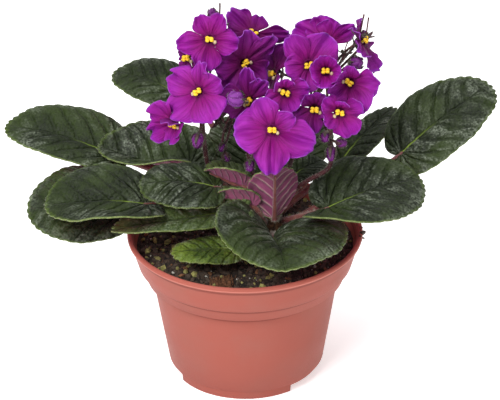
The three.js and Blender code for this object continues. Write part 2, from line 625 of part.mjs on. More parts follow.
// A pair of yellow lobes with a waist between them, on a filament that stands in the throat.
function makeAnthers(bloom) {
  const frame = bloomFrame(bloom);
  const basis = new THREE.Matrix4().makeBasis(frame.right, frame.above, frame.ahead);
  const lobes = new THREE.IcosahedronGeometry(1, 0);
  const place = lobes.getAttribute('position');
  const [long, high, deep] = ANTHER_REACH;
  for (let i = 0; i < place.count; i += 1) {
    const waist = Math.abs(place.getX(i)) < 0.1 ? ANTHER_WAIST : 1;
    place.setX(i, long * place.getX(i));
    place.setY(i, high * waist * place.getY(i));
    place.setZ(i, deep * waist * place.getZ(i) + ANTHER_LIFT);
  }
  const { radius, length, middle } = FILAMENT;
  const filament = new THREE.CylinderGeometry(radius, radius, length, 4).rotateX(Math.PI / 2);
  const [pair, post] = [lobes, filament.translate(0, 0, middle)].map((part) => solidFromGeometry(
    part.applyMatrix4(basis).translate(frame.middle.x, frame.middle.y, frame.middle.z)));
  return pair.add(post);
}

// A star of five sepals on a short cup: two cones on one ten-pointed ring.
function makeCalyx(frame, back) {
  const points = [frame.place(0, 0, back - 0.2), frame.place(0, 0, back - CALYX_LENGTH)];
  const triangles = [];
  for (let i = 0; i < 10; i += 1) {
    const angle = radians(36 * i + 18);
    const reach = i % 2 === 0 ? CALYX_RADIUS : CALYX_NOTCH_RADIUS;
    const height = i % 2 === 0 ? back + 0.5 : back - 0.9;
    points.push(frame.place(reach * Math.cos(angle), reach * Math.sin(angle), height));
    const here = 2 + i;
    const next = 2 + (i + 1) % 10;
    triangles.push([0, here, next], [1, next, here]);
  }
  return solidFromTriangles(points, triangles);
}

// A bloom's or bud's own stalk, from where the cluster forks into the back of the calyx.
function makePedicel(fork, frame, back) {
  const end = frame.place(0, 0, back - CALYX_LENGTH + PEDICEL_SEAT);
  const reach = fork.distanceTo(end);
  const lean = end.clone().sub(fork).normalize();
  const rise = lean.clone().add(UP).normalize();
  const start = fork.clone().addScaledVector(lean, 0.3);
  const route = new THREE.CubicBezierCurve3(
    start, start.clone().addScaledVector(rise, reach * 0.35),
    end.clone().addScaledVector(frame.ahead, -Math.min(reach * 0.35, PEDICEL_BEND)), end);
  return stem(route, 3, 4, PEDICEL_RADIUS, PEDICEL_RADIUS);
}

function makeBud({ at, points, size }) {
  const frame = bloomFrame({ at, faces: points, turn: 0 });
  const [radius, length] = size;
  const basis = new THREE.Matrix4().makeBasis(frame.right, frame.above, frame.ahead);
  const body = new THREE.IcosahedronGeometry(1, 0).scale(radius, radius, length / 2);
  body.applyMatrix4(basis).translate(...at);
  return solidFromGeometry(body);
}

// One stalk with its forked pedicels, calyxes and buds, grown together.
function makeCluster({ root, path, carries }) {
  const foot = seatOnCrown(root, PEDUNCLE_RADIUS);
  const route = new THREE.CatmullRomCurve3([foot, ...path.map(point)], false, 'centripetal');
  let cluster = stem(route, 7, STALK_SIDES, PEDUNCLE_RADIUS, PEDUNCLE_RADIUS);
  const fork = point(path.at(-1)).addScaledVector(route.getTangentAt(1), -0.8);
  for (const name of carries) {
    const bud = BUDS[name];
    const frame = bloomFrame(bud ? { at: bud.at, faces: bud.points, turn: 0 } : BLOOMS[name]);
    const back = bud ? BUD_SEAT - bud.size[1] / 2
      : -THROAT_DEPTH - PETAL_THICKNESS / 2 - CALYX_SEAT;
    cluster = cluster.add(makeCalyx(frame, back)).add(makePedicel(fork, frame, back));
    if (bud) cluster = cluster.add(makeBud(bud));
  }
  return filled(cluster);
}

const plant = new THREE.Group();

function addPiece(name, solid, [colour, roughness]) {
  const material = new THREE.MeshStandardMaterial({ color: colour, roughness, metalness: 0 });
  const piece = new THREE.Mesh(geometryFromSolid(solid), material);
  piece.name = name;
  plant.add(piece);
}

addPiece('pot', makePot(), COLOURS.pot);
addPiece('soil', makeSoil(), COLOURS.soil);
addPiece('crown', makeCrown(), COLOURS.crown);
for (const [name, leaf] of Object.entries(LEAVES)) addPiece(name, makeLeaf(leaf), COLOURS.leaf);
for (const [name, bloom] of Object.entries(BLOOMS)) {
  addPiece(name, makeCorolla(name, bloom), COLOURS.petal);
  addPiece(name.replace('bloom', 'anthers'), makeAnthers(bloom), COLOURS.anther);
}
for (const [name, cluster] of Object.entries(CLUSTERS)) {
  addPiece(name, makeCluster(cluster), COLOURS.stalk);
}

export default plant;
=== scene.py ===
# %% [markdown]
# # A potted African violet
# The frame holds plain solids: a pot, its peat, a crown, leaves, blooms and flower stalks.
# This notebook remodels each of them finer in the same place, and gives each its finish. The
# solids stay underneath, hidden, and keep the sizes honest. Shapes are written in millimetres
# and degrees, while Blender itself counts in metres.

# %% Load the frame
import math
import random

import bmesh
import bpy
from mathutils import Matrix, Vector, noise


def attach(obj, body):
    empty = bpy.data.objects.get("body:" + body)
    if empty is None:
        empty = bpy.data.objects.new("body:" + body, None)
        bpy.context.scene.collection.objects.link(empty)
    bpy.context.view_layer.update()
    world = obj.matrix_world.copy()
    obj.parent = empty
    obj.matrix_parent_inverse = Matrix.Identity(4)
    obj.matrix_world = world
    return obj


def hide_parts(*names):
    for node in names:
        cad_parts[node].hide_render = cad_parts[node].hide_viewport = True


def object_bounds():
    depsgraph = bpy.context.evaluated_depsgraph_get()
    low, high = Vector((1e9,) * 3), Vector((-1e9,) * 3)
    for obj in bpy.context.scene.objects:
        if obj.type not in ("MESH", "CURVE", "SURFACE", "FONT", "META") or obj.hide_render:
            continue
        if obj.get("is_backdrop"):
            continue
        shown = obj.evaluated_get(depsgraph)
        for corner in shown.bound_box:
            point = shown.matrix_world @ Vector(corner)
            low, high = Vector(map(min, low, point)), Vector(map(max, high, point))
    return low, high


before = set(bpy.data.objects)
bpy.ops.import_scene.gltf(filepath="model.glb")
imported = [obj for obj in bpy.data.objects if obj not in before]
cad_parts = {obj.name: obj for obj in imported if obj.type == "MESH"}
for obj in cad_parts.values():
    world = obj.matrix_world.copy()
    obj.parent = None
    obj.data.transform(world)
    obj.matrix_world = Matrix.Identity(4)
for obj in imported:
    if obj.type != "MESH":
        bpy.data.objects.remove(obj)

cad_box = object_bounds()
MM = 0.001
print("solids, lowest and highest corner in mm:", [[round(v / MM) for v in c] for c in cad_box])

# %% [markdown]
# ## Camera
# The plant is seen from the front and from about 29 degrees above, through a long lens, so its
# pot hardly narrows away from us. A camera could be aimed with a Track To constraint, but the
# picture is also rolled a little, so its three turns are given instead: the heading, the tilt
# down and the roll. A camera looks along its own -Z with +Y up, so the matrix takes the right,
# up and backward directions as its columns.

# %% Camera
SENSOR = 36.0
LENS = 226.3
CAMERA_AT = Vector((0, -1392.7, 865.6))
CAMERA_YAW = math.radians(0.113)
CAMERA_PITCH = math.radians(28.948)
CAMERA_ROLL = math.radians(-0.639)


def camera_matrix():
    level = math.cos(CAMERA_PITCH)
    forward = Vector((math.sin(CAMERA_YAW) * level, math.cos(CAMERA_YAW) * level,
                      -math.sin(CAMERA_PITCH)))
    right = Vector((math.cos(CAMERA_YAW), -math.sin(CAMERA_YAW), 0))
    right = Matrix.Rotation(-CAMERA_ROLL, 3, forward) @ right
    turn = Matrix((right, right.cross(forward), -forward)).transposed()
    return Matrix.Translation(CAMERA_AT * MM) @ turn.to_4x4()


camera = bpy.data.objects.new("camera", bpy.data.cameras.new("camera"))
camera.data.sensor_width = SENSOR
camera.data.lens = LENS
camera.data.clip_start = 0.1
camera.data.clip_end = 20
camera.matrix_world = camera_matrix()
bpy.context.collection.objects.link(camera)
bpy.context.scene.camera = camera
print("camera at", [round(v, 3) for v in camera.matrix_world.translation])

# %% [markdown]
# ## Light
# A studio for plants is a white room with large soft lamps. One large lamp stands high in
# front and to the left, a weak one on the right, and one overhead fills the shadows between
# the leaves. A picture of a real room could light the plant too, but area lamps say plainly
# where the light comes from. A pale world does the rest, so no shadow is quite black.

# %% Light
LAMPS = {
    "key_lamp": {"at": (-0.7, -1.1, 1.45), "size": 0.9, "watts": 32},
    "side_lamp": {"at": (0.8, -1.3, 1.0), "size": 1.2, "watts": 3},
    "top_lamp": {"at": (0.1, 0.5, 1.8), "size": 1.2, "watts": 16},
}
LAMPS_AIM_AT = Vector((0, 0, 0.1))
WORLD_LIGHT = 0.35


def add_lamp(name, at, size, watts):
    lamp = bpy.data.lights.new(name, "AREA")
    lamp.energy = watts
    lamp.shape = "SQUARE"
    lamp.size = size
    piece = bpy.data.objects.new(name, lamp)
    piece.location = at
    toward = LAMPS_AIM_AT - piece.location
    piece.rotation_euler = toward.to_track_quat("-Z", "Y").to_euler()
    bpy.context.collection.objects.link(piece)


for lamp_name, lamp_facts in LAMPS.items():
    add_lamp(lamp_name, **lamp_facts)
world = bpy.data.worlds.new("white_room")
world.use_nodes = True
world.node_tree.nodes["Background"].inputs["Color"].default_value = (1, 1, 1, 1)
world.node_tree.nodes["Background"].inputs["Strength"].default_value = WORLD_LIGHT
bpy.context.scene.world = world
bpy.context.scene.view_settings.view_transform = "Standard"
print("lamps:", ", ".join(LAMPS))

# %% [markdown]
# ## Shader sums
# A finish is a graph of nodes. It could be wired socket by socket, but written as sums of
# Python objects it reads like the recipe that it is: the class below wraps one output of a
# node, and adding or multiplying it adds the Math node. Every other node comes from its one
# method `node`. Colours go through a Mix node, because a Math node would turn them grey.

# %% Shader sums
class Wire:
    """One output of a node, which can be added and multiplied as a number is."""

    def __init__(self, tree, socket=None):
        self.tree = tree
        self.socket = socket

    def node(self, kind, settings=(), inputs=(), output=0):
        """Any node: its type, its settings, then the values or wires of its inputs."""
        made = self.tree.nodes.new(kind)
        for name, value in dict(settings).items():
            setattr(made, name, value)
        for key, value in dict(inputs).items():
            if isinstance(value, Wire):
                self.tree.links.new(value.socket, made.inputs[key])
            else:
                made.inputs[key].default_value = value
        return Wire(self.tree, made.outputs[output])

    def math(self, operation, first, second=0.0):
        return self.node("ShaderNodeMath", {"operation": operation}, {0: first, 1: second})

    def __add__(self, other):
        return self.math("ADD", self, other)

    def __radd__(self, other):
        return self.math("ADD", other, self)

    def __sub__(self, other):
        return self.math("SUBTRACT", self, other)

    def __rsub__(self, other):
        return self.math("SUBTRACT", other, self)

    def __mul__(self, other):
        return self.math("MULTIPLY", self, other)

    def __rmul__(self, other):
        return self.math("MULTIPLY", other, self)

    def size(self):
        return self.math("ABSOLUTE", self)

    def between(self, low, high):
        """0 below low, 1 above high, and a smooth step from one to the other."""
        return self.node("ShaderNodeMapRange", {"interpolation_type": "SMOOTHSTEP"},
                         {"Value": self, "From Min": low, "From Max": high})

    def value(self, name):
        """A number that the mesh carries at each point."""
        return self.node("ShaderNodeAttribute", {"attribute_name": name}, output="Fac")

    def place(self):
        return self.node("ShaderNodeTexCoord", output="Object")

    def joined(self, x, y):
        """Two numbers as a place on a flat sheet, where noise can be read."""
        return self.node("ShaderNodeCombineXYZ", {}, {"X": x, "Y": y})

    def cloud(self, scale, detail=2.0, at=None, rough=0.5):
        """Soft noise, scale being its spots to the metre."""
        return self.node("ShaderNodeTexNoise", {}, {
            "Vector": at or self.place(), "Scale": scale, "Detail": detail, "Roughness": rough})

    def mixed(self, low, high):
        """The colour low where this wire is 0, and high where it is 1."""
        # A Mix node has a set of sockets for each kind of value. Its colours are 6 and 7.
        return self.node("ShaderNodeMix", {"data_type": "RGBA"}, {0: self, 6: low, 7: high},
                         output=2)

    def raised(self, height, distance):
        """A bump: height is 0 to 1, and distance how many millimetres 1 stands for."""
        return self.node("ShaderNodeBump", {}, {"Height": height, "Distance": distance * MM})


def paint(red, green, blue):
    """A colour as a screen shows it, 0 to 255, turned into the light that Blender mixes."""
    def light(value):
        share = value / 255
        return share / 12.92 if share <= 0.04045 else ((share + 0.055) / 1.055) ** 2.4
    return (light(red), light(green), light(blue), 1.0)


def finish(name, recipe, **settings):
    """A material: the recipe gives what varies over the surface, settings what doesn't."""
    material = bpy.data.materials.new(name)
    material.use_nodes = True
    shader = material.node_tree.nodes["Principled BSDF"]
    for socket, source in recipe(Wire(material.node_tree)).items():
        material.node_tree.links.new(source.socket, shader.inputs[socket])
    for socket, value in settings.items():
        shader.inputs[socket.replace("_", " ")].default_value = value
    return material


print("middle grey, as Blender mixes it:", round(paint(128, 128, 128)[0], 3))

# %% [markdown]
# ## Floor
# The plant stands on a white sweep of paper. A plane would do, and a large pale sheet is just
# that: a little rough, and faintly glowing, so that it stays as white as the room while the
# pot's soft shadow still grounds it.

# %% Floor
FLOOR_REACH = 4.0
FLOOR_GLOW = 0.5


def floor_recipe(start):
    speck = start.cloud(30).between(0.3, 0.7)
    return {"Base Color": speck.mixed(paint(246, 246, 246), paint(250, 250, 250))}


def add_floor():
    mesh = bpy.data.meshes.new("floor")
    corners = [(x * FLOOR_REACH, y * FLOOR_REACH, 0)
               for x, y in ((-1, -1), (1, -1), (1, 1), (-1, 1))]
    mesh.from_pydata(corners, [], [(0, 1, 2, 3)])
    mesh.materials.append(finish("pale_floor", floor_recipe, Roughness=0.8,
                                 Emission_Color=(1, 1, 1, 1), Emission_Strength=FLOOR_GLOW))
    piece = bpy.data.objects.new("floor", mesh)
    bpy.context.collection.objects.link(piece)
    piece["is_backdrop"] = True


add_floor()
print("floor of", 2 * FLOOR_REACH, "m laid")

# %% [markdown]
# ## Making shapes
# Leaves and petals are curved sheets, stalks are tubes and hairs are thin cones. They could be
# sculpted, or bent from planes with modifiers, but all of them follow formulas, so they are
# made point by point. The class gathers points in millimetres, faces, and three numbers at
# each point that the finishes read later, such as how near a point is to the leaf's edge.

# %% Making shapes
UP = Vector((0, 0, 1))
NO_VALUES = (0.0, 0.0, 0.0)
TINY = 1e-6
HAIR_WIDTH = 0.05
HAIR_CORNERS = (0, 2.09, 4.19)
HAIR_SUNK = 0.92
HAIR_LEAN = 0.35


def lerp(low, high, share):
    return low + (high - low) * share


def smooth(low, high, value):
    """0 below low, 1 above high, and a smooth step from one to the other."""
    share = min(max((value - low) / (high - low), 0), 1)
    return share * share * (3 - 2 * share)


def heading(turned, rise):
    """A direction from degrees round +Z and degrees above level."""
    level = math.cos(math.radians(rise))
    turn = math.radians(turned)
    return Vector((level * math.cos(turn), level * math.sin(turn),
                   math.sin(math.radians(rise))))


def frame_along(forward):
    """Forward, the level direction to its left, and the one over both."""
    ahead = forward.normalized()
    side = UP.cross(ahead).normalized()
    return ahead, side, ahead.cross(side)


def sheet_normals(places, over):
    """The way out of a sheet at each of its points. Its first two rows keep to over's side."""
    last_row = len(places) - 1
    last = len(places[0]) - 1
    normals = []
    for r, row in enumerate(places):
        line = []
        for c in range(last + 1):
            along = places[min(r + 1, last_row)][c] - places[max(r - 1, 0)][c]
            across = row[min(c + 1, last)] - row[max(c - 1, 0)]
            normal = along.cross(across)
            normal = normal.normalized() if normal.length > TINY else over
            if r < 2 and normal.dot(over) < 0:
                normal = -normal
            line.append(normal)
        normals.append(line)
    return normals


class Shape:
    """Points, faces and finishes of one piece while it is being made."""

    def __init__(self):
        self.points = []
        self.values = []
        self.faces = []
        self.looks = []

    def point(self, place, values=NO_VALUES):
        self.points.append(place * MM)
        self.values.append(values)
        return len(self.points) - 1

    def face(self, corners, look):
        self.faces.append(corners)
        self.looks.append(look)

    def grid(self, rows, look, closed=False):
        """Four-cornered faces between neighbouring rows of points."""
        for low, high in zip(rows, rows[1:]):
            for i in range(len(low) if closed else len(low) - 1):
                j = (i + 1) % len(low)
                self.face((low[i], low[j], high[j], high[i]), look)

    def barrel(self, rings, look):
        """Closed rings of points, with a lid on the first and on the last."""
        self.grid(rings, look, closed=True)
        self.face(tuple(reversed(rings[0])), look)
        self.face(tuple(rings[-1]), look)

    def tube(self, path, radii, sides, look):
        """A round stem along a path. Returns what hairs() needs to grow on it."""
        rings = []
        bark = []
        side = (path[1] - path[0]).orthogonal()
        for i, middle in enumerate(path):
            ahead = (path[min(i + 1, len(path) - 1)] - path[max(i - 1, 0)]).normalized()
            side = (side - ahead * side.dot(ahead)).normalized()
            over = ahead.cross(side)
            ring = []
            for k in range(sides):
                turn = 2 * math.pi * k / sides
                out = side * math.cos(turn) + over * math.sin(turn)
                ring.append(self.point(middle + out * radii[i]))
            rings.append(ring)
            bark.append((middle, side, over, radii[i]))
        self.barrel(rings, look)
        return bark

    def sheet(self, rows, over, thickness, looks, hub=None):
        """Rows of (place, values) as a sheet with two faces and an edge all round.

        Where a hub is given, the first row closes on that point like a fan."""
        top_look, under_look, edge_look = looks
        normals = sheet_normals([[place for place, _ in row] for row in rows], over)
        sides = []
        for way, look in ((thickness / 2, top_look), (-thickness / 2, under_look)):
            side = [[self.point(place + normal * way, values)
                     for (place, values), normal in zip(row, row_normals)]
                    for row, row_normals in zip(rows, normals)]
            self.grid(side, look)
            if hub:
                place, values = hub
                centre = self.point(place + over * way, values)
                for corner, following in zip(side[0], side[0][1:]):
                    self.face((centre, corner, following), look)
            sides.append(side)
        top, under = sides
        self.grid([top[-1], under[-1]], edge_look)
        for c in (0, -1):
            self.grid([[line[c] for line in top], [line[c] for line in under]], edge_look)
        if not hub:
            self.grid([top[0], under[0]], edge_look)

    def hair(self, root, tip, look, width=HAIR_WIDTH):
        """A three-sided cone."""
        ahead = (tip - root).normalized()
        side = ahead.orthogonal()
        over = ahead.cross(side)
        foot = [self.point(root + (side * math.cos(turn) + over * math.sin(turn)) * width)
                for turn in HAIR_CORNERS]
        end = self.point(tip)
        for i in range(3):
            self.face((foot[i], foot[(i + 1) % 3], end), look)

    def hairs(self, bark, count, length, look, draw):
        """Hairs at random over a tube, leaning a little."""
        for _ in range(count):
            middle, side, over, radius = draw.choice(bark[1:-1])
            turn = draw.uniform(0, 2 * math.pi)
            out = side * math.cos(turn) + over * math.sin(turn)
            slide = over.cross(side) * draw.uniform(-0.5, 0.5) * radius
            lean = Vector([draw.uniform(-HAIR_LEAN, HAIR_LEAN) for _ in range(3)])
            root = middle + out * radius * HAIR_SUNK + slide
            self.hair(root, root + (out + lean) * length * draw.uniform(0.6, 1), look)

    def made(self, name, finishes, node=None, slot=None, names=(), flat=False):
        """Turns the gathered shape into an object that rides on the frame."""
        mesh = bpy.data.meshes.new(name)
        mesh.from_pydata(self.points, [], self.faces)
        for material in finishes:
            mesh.materials.append(material)
        mesh.polygons.foreach_set("material_index", self.looks)
        for i, value_name in enumerate(names):
            values = mesh.attributes.new(value_name, "FLOAT", "POINT")
            values.data.foreach_set("value", [v[i] for v in self.values])
        work = bmesh.new()
        work.from_mesh(mesh)
        bmesh.ops.recalc_face_normals(work, faces=work.faces)
        work.to_mesh(mesh)
        work.free()
        mesh.polygons.foreach_set("use_smooth", [not flat] * len(mesh.polygons))
        piece = bpy.data.objects.new(name, mesh)
        bpy.context.collection.objects.link(piece)
        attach(piece, "root")
        if node:
            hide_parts(node)
        return piece


print("a heading of 90 degrees points along", [round(v, 2) for v in heading(90, 0)])

# %% [markdown]
# ## Pot
# The pot is moulded plastic the colour of baked clay. Its wall steps out twice so that pots
# nest, and its rim is rolled over. Cylinders could be scaled and joined, but one turned
# profile gives all of it, as the mould's maker turned it. The foot is a ring broken by two
# wide notches, so the turned ring simply rises there: extra angles stand right at the notches'
# ends, which keeps those ends crisp.

# %% Pot shape
POT_HEIGHT = 78
POT_OUTSIDE = [
    (24, 0), (28, 0), (28.1, 0), (33, 0), (37.6, 0), (37.9, 0.3), (38.2, 3.8),
    (38.8, 5.4), (39.9, 6.2), (43.5, 28), (47.4, 52), (47.7, 53.2), (48.4, 53.8), (50.1, 54),
    (50.7, 54.3), (52.2, 60.2), (52.6, 60.8), (53.2, 61.1), (54.2, 61.3), (54.7, 61.9),
    (56.5, 68), (58.2, 74.5), (58.5, 75), (59.2, 75.3), (59.8, 75.9), (60, 76.7),
    (59.8, 77.5), (59.1, POT_HEIGHT)]
POT_INSIDE = [
    (58.3, POT_HEIGHT), (57.6, 77.6), (57.4, 76.9), (56.2, 74.2), (52.6, 61), (48.7, 54.5),
    (45.7, 53), (38.5, 9)]
POT_FLOOR = 8
UNDERSIDE = 1
NOTCHES = (168, 348)
NOTCH_HALF = 42
NOTCH_RISE = 3.8
NOTCH_BEGINS = 28.05
NOTCH_EDGE = 0.12
NOTCH_CLEAR = 0.8
FOOT_ENDS = 38.1
POT_STEPS = 180


def in_notch(degrees):
    return any(abs((degrees - middle + 180) % 360 - 180) < NOTCH_HALF for middle in NOTCHES)


def pot_angles():
    """Even steps round the pot, with a close pair of angles at each end of a notch."""
    angles = {i * 360 / POT_STEPS for i in range(POT_STEPS)}
    for middle in NOTCHES:
        for end in (middle - NOTCH_HALF, middle + NOTCH_HALF):
            angles = {a for a in angles if abs(a - end % 360) > NOTCH_CLEAR}
            angles |= {(end - NOTCH_EDGE) % 360, (end + NOTCH_EDGE) % 360}
    return sorted(angles)


def pot_shape():
    shape = Shape()
    rings = []
    angles = pot_angles()
    for radius, height in POT_OUTSIDE + POT_INSIDE:
        in_foot = NOTCH_BEGINS < radius < FOOT_ENDS and height < UNDERSIDE
        ring = []
        for degrees in angles:
            z = NOTCH_RISE if in_foot and in_notch(degrees) else height
            turn = math.radians(degrees)
            place = Vector((radius * math.cos(turn), radius * math.sin(turn), z))
            ring.append(shape.point(place, (height, 0, 0)))
        rings.append(ring)
    shape.grid(rings, 0, closed=True)
    under = shape.point(Vector((0, 0, 0)))
    inside = shape.point(Vector((0, 0, POT_FLOOR)))
    for i in range(len(angles)):
        j = (i + 1) % len(angles)
        shape.face((under, rings[0][j], rings[0][i]), 0)
        shape.face((inside, rings[-1][i], rings[-1][j]), 0)
    return shape


turned_pot = pot_shape()
print("pot points:", len(turned_pot.points))

# %% [markdown]
# Moulded plastic shows little of its own: a satin skin with the faintest waviness, tiny
# scuffs, and a film of lime and dust in patches. The rim, which hands touch, stays cleaner and
# looks more orange. A thin dark line of painted shadow lies under the lip and under each step
# of the wall, and a pale line of painted highlight runs along the lip's edge. The lines could be
# painted on a picture, but each point of the pot knows its height, so they are simply bands of
# height.

# %% Pot finish
CLAY = paint(158, 87, 76)
CLAY_RIM = paint(164, 90, 78)
# Painted highlight along the lip's edge.
CLAY_PAINTED_HIGHLIGHT = paint(206, 134, 120)
LIME_FILM = paint(152, 94, 84)
# Painted shadow: the dark line under the lip and under each step of the wall.
GROOVE_PAINTED_SHADOW = paint(84, 38, 34)
GROOVES = (52.3, 59.8, 73.9)
LIP_EDGE = 76.2


def pot_recipe(start):
    height = start.value("height")
    film = start.cloud(45, 4).between(0.42, 0.75) * 0.5
    film = film + start.cloud(600, 2).between(0.62, 0.8) * 0.15
    rim = height.between(0.955 * POT_HEIGHT, 0.985 * POT_HEIGHT)
    colour = rim.mixed(CLAY, CLAY_RIM)
    colour = (film * (1 - rim)).mixed(colour, LIME_FILM)
    # A thin dark line of painted shadow under the lip and under each step.
    for groove in GROOVES:
        groove_painted_shadow = 1 - (height - groove).size().between(0.2, 1.0)
        colour = (groove_painted_shadow * 0.42).mixed(colour, GROOVE_PAINTED_SHADOW)
    # A pale line of painted highlight along the lip's edge.
    lip_painted_highlight = 1 - (height - LIP_EDGE).size().between(0.1, 0.6)
    colour = (lip_painted_highlight * 0.5).mixed(colour, CLAY_PAINTED_HIGHLIGHT)
    scuff = start.cloud(1400, 3).between(0.35, 0.7)
    return {"Base Color": colour, "Roughness": 0.4 + 0.14 * film + 0.08 * scuff,
            "Normal": start.raised(start.cloud(90, 2) + 0.05 * start.cloud(2500, 2), 0.25)}


pot_plastic = finish("clay_coloured_plastic", pot_recipe, Specular_IOR_Level=0.06)
pot = turned_pot.made("pot_turned", [pot_plastic], "pot", "pot", ("height",))
print("pot faces:", len(pot.data.polygons))

# %% [markdown]
# ## Peat
# Potting peat is a loose crumb of dark fibres. A particle system could heap it up, but it
# would be slow and hard to keep in the pot. Instead the bed is one surface that fills the pot,
# its top lumpy at three scales by noise, and the loose crumbs are laid on it afterwards.

# %% Peat bed
SOIL_TOP = 71.5
SOIL_EDGE = 55.4
SOIL_FOOT = 9
SOIL_RINGS = 62
SOIL_RAYS = 230
SOIL_WALL = [(52.3, 61.5), (48.3, 54.9), (45.2, 53.4), (37.6, SOIL_FOOT)]


def soil_height(x, y):
    """The height of the peat's surface over a place in the pot."""
    radius = math.hypot(x, y)
    angle = math.atan2(y, x)
    lumps = 0.8 * math.sin(3 * angle + radius / 9) + 0.6 * math.cos(5 * angle - radius / 6)
    mound = 1.2 * math.cos(math.pi * min(radius / 40, 1))
    calm = smooth(0, 8, radius) * (1 - smooth(50, 55, radius))
    rough = 1.6 * noise.noise(Vector((x / 5, y / 5, 0)))
    rough += 1.3 * abs(noise.noise(Vector((x / 2.2, y / 2.2, 3))))
    rough += 0.6 * noise.noise(Vector((x / 0.9, y / 0.9, 7)))
    return SOIL_TOP + mound + lumps * calm + rough * (1 - smooth(53.5, SOIL_EDGE, radius))


def soil_ring(shape, radius, height_at):
    places = [(radius * math.cos(turn), radius * math.sin(turn))
              for turn in [2 * math.pi * i / SOIL_RAYS for i in range(SOIL_RAYS)]]
    return [shape.point(Vector((x, y, height_at(x, y)))) for x, y in places]


def soil_shape():
    shape = Shape()
    rings = [soil_ring(shape, SOIL_EDGE * (r / SOIL_RINGS) ** 0.85, soil_height)
             for r in range(1, SOIL_RINGS + 1)]
    for radius, height in SOIL_WALL:
        rings.append(soil_ring(shape, radius, lambda x, y: height))
    shape.grid(rings, 0, closed=True)
    middle = shape.point(Vector((0, 0, soil_height(0.01, 0))))
    below = shape.point(Vector((0, 0, SOIL_FOOT)))
    for i in range(SOIL_RAYS):
        j = (i + 1) % SOIL_RAYS
        shape.face((middle, rings[0][i], rings[0][j]), 0)
        shape.face((below, rings[-1][j], rings[-1][i]), 0)
    return shape


def peat_recipe(start):
    crumb = start.cloud(420, 6, rough=0.7)
    damp = start.cloud(60, 2).between(0.4, 0.65)
    colour = crumb.between(0.38, 0.68).mixed(paint(18, 14, 12), paint(82, 64, 50))
    colour = (damp * 0.4).mixed(colour, paint(20, 15, 12))
    fleck = start.cloud(1100, 1).between(0.7, 0.74)
    colour = fleck.mixed(colour, paint(120, 104, 70))
    return {"Base Color": colour, "Normal": start.raised(crumb, 1.2)}


peat = finish("peat", peat_recipe, Roughness=0.92)
soil = soil_shape().made("peat_bed", [peat], "soil", "soil")
print("peat bed faces:", len(soil.data.polygons))

# %% [markdown]
# The crumbs on the bed are some two thousand small random lumps of four kinds: dark peat,
# brown chips, pale grains of bark and white bits of perlite. Each is a twenty-sided ball with
# its corners pushed in and out, because flat facets catch the light as broken peat does. A few
# large chips lie where the leaves leave the peat bare, and a few crumbs are caught on the rim.

# %% Crumbs
CRUMB_KINDS = {
    "peat_crumbs": {"count": 1500, "sizes": (0.5, 2.3), "colour": paint(86, 72, 60)},
    "brown_chips": {"count": 150, "sizes": (0.7, 2.2), "colour": paint(140, 98, 64)},
    "bark_grains": {"count": 240, "sizes": (0.5, 2.4), "colour": paint(166, 162, 94)},
    "perlite_bits": {"count": 260, "sizes": (0.3, 1.1), "colour": paint(214, 213, 200)},
}
CRUMBS_REACH = 54.3
# Crumbs on the rim and chips on the bed: where each lies, and last its size.
RIM_CRUMBS = [(59.2, -4.5, 77.8, 1.6), (60.1, -2, 76.8, 1.4), (58.4, -8.4, 78.2, 1.2),
              (59.4, 1.4, 77.6, 1), (59.9, -6.4, 76, 0.9)]
LARGE_CHIPS = [(-52, 2, 1.9), (-49.5, -10, 2.6), (-46, 1, 1.9), (-39.5, 0, 2.2), (-36, -7, 1.7),
               (-44, -16, 2.1), (-50, -15, 1.4), (-30, -30, 1.8), (3, -47, 1.6)]
BALL_SHORT = 0.5257
BALL_LONG = 0.8507
BALL_EDGE = 1.06


def ball_points():
    """The twelve corners of a twenty-sided ball: those of three crossed cards."""
    points = []
    for a in (-BALL_SHORT, BALL_SHORT):
        for b in (-BALL_LONG, BALL_LONG):
            points += [Vector((0, a, b)), Vector((a, b, 0)), Vector((b, 0, a))]
    return points


def ball_faces(points):
    """Every three corners of the ball that are one edge apart from each other."""
    count = range(len(points))
    near = {(i, j) for i in count for j in count
            if 0 < (points[i] - points[j]).length < BALL_EDGE}
    return [(i, j, k) for i in count for j in count for k in count
            if i < j < k and (i, j) in near and (j, k) in near and (i, k) in near]


BALL = ball_points()
BALL_FACES = ball_faces(BALL)


def add_lump(shape, place, size, draw):
    turn = Matrix.Rotation(draw.uniform(0, 6.28), 3, Vector((draw.random(), draw.random(), 1)))
    stretch = Vector((draw.uniform(0.7, 1.35), draw.uniform(0.6, 1.1), draw.uniform(0.45, 0.9)))
    first = len(shape.points)
    for corner in BALL:
        bumpy = corner * draw.uniform(0.75, 1.15) * stretch
        shape.point(place + turn @ bumpy * size)
    for corners in BALL_FACES:
        shape.face(tuple(first + c for c in corners), 0)


def crumb_recipe(colour):
    def recipe(start):
        shade = start.cloud(700, 3).between(0.3, 0.75)
        dark = tuple(0.45 * c for c in colour[:3]) + (1.0,)
        return {"Base Color": shade.mixed(dark, colour),
                "Normal": start.raised(start.cloud(2400, 3), 0.4)}
    return recipe


def spot_on_peat(draw, reach):
    """A random place, as likely on one part of the bed as on another."""
    radius = reach * math.sqrt(draw.random())
    turn = draw.uniform(0, 2 * math.pi)
    return radius * math.cos(turn), radius * math.sin(turn)


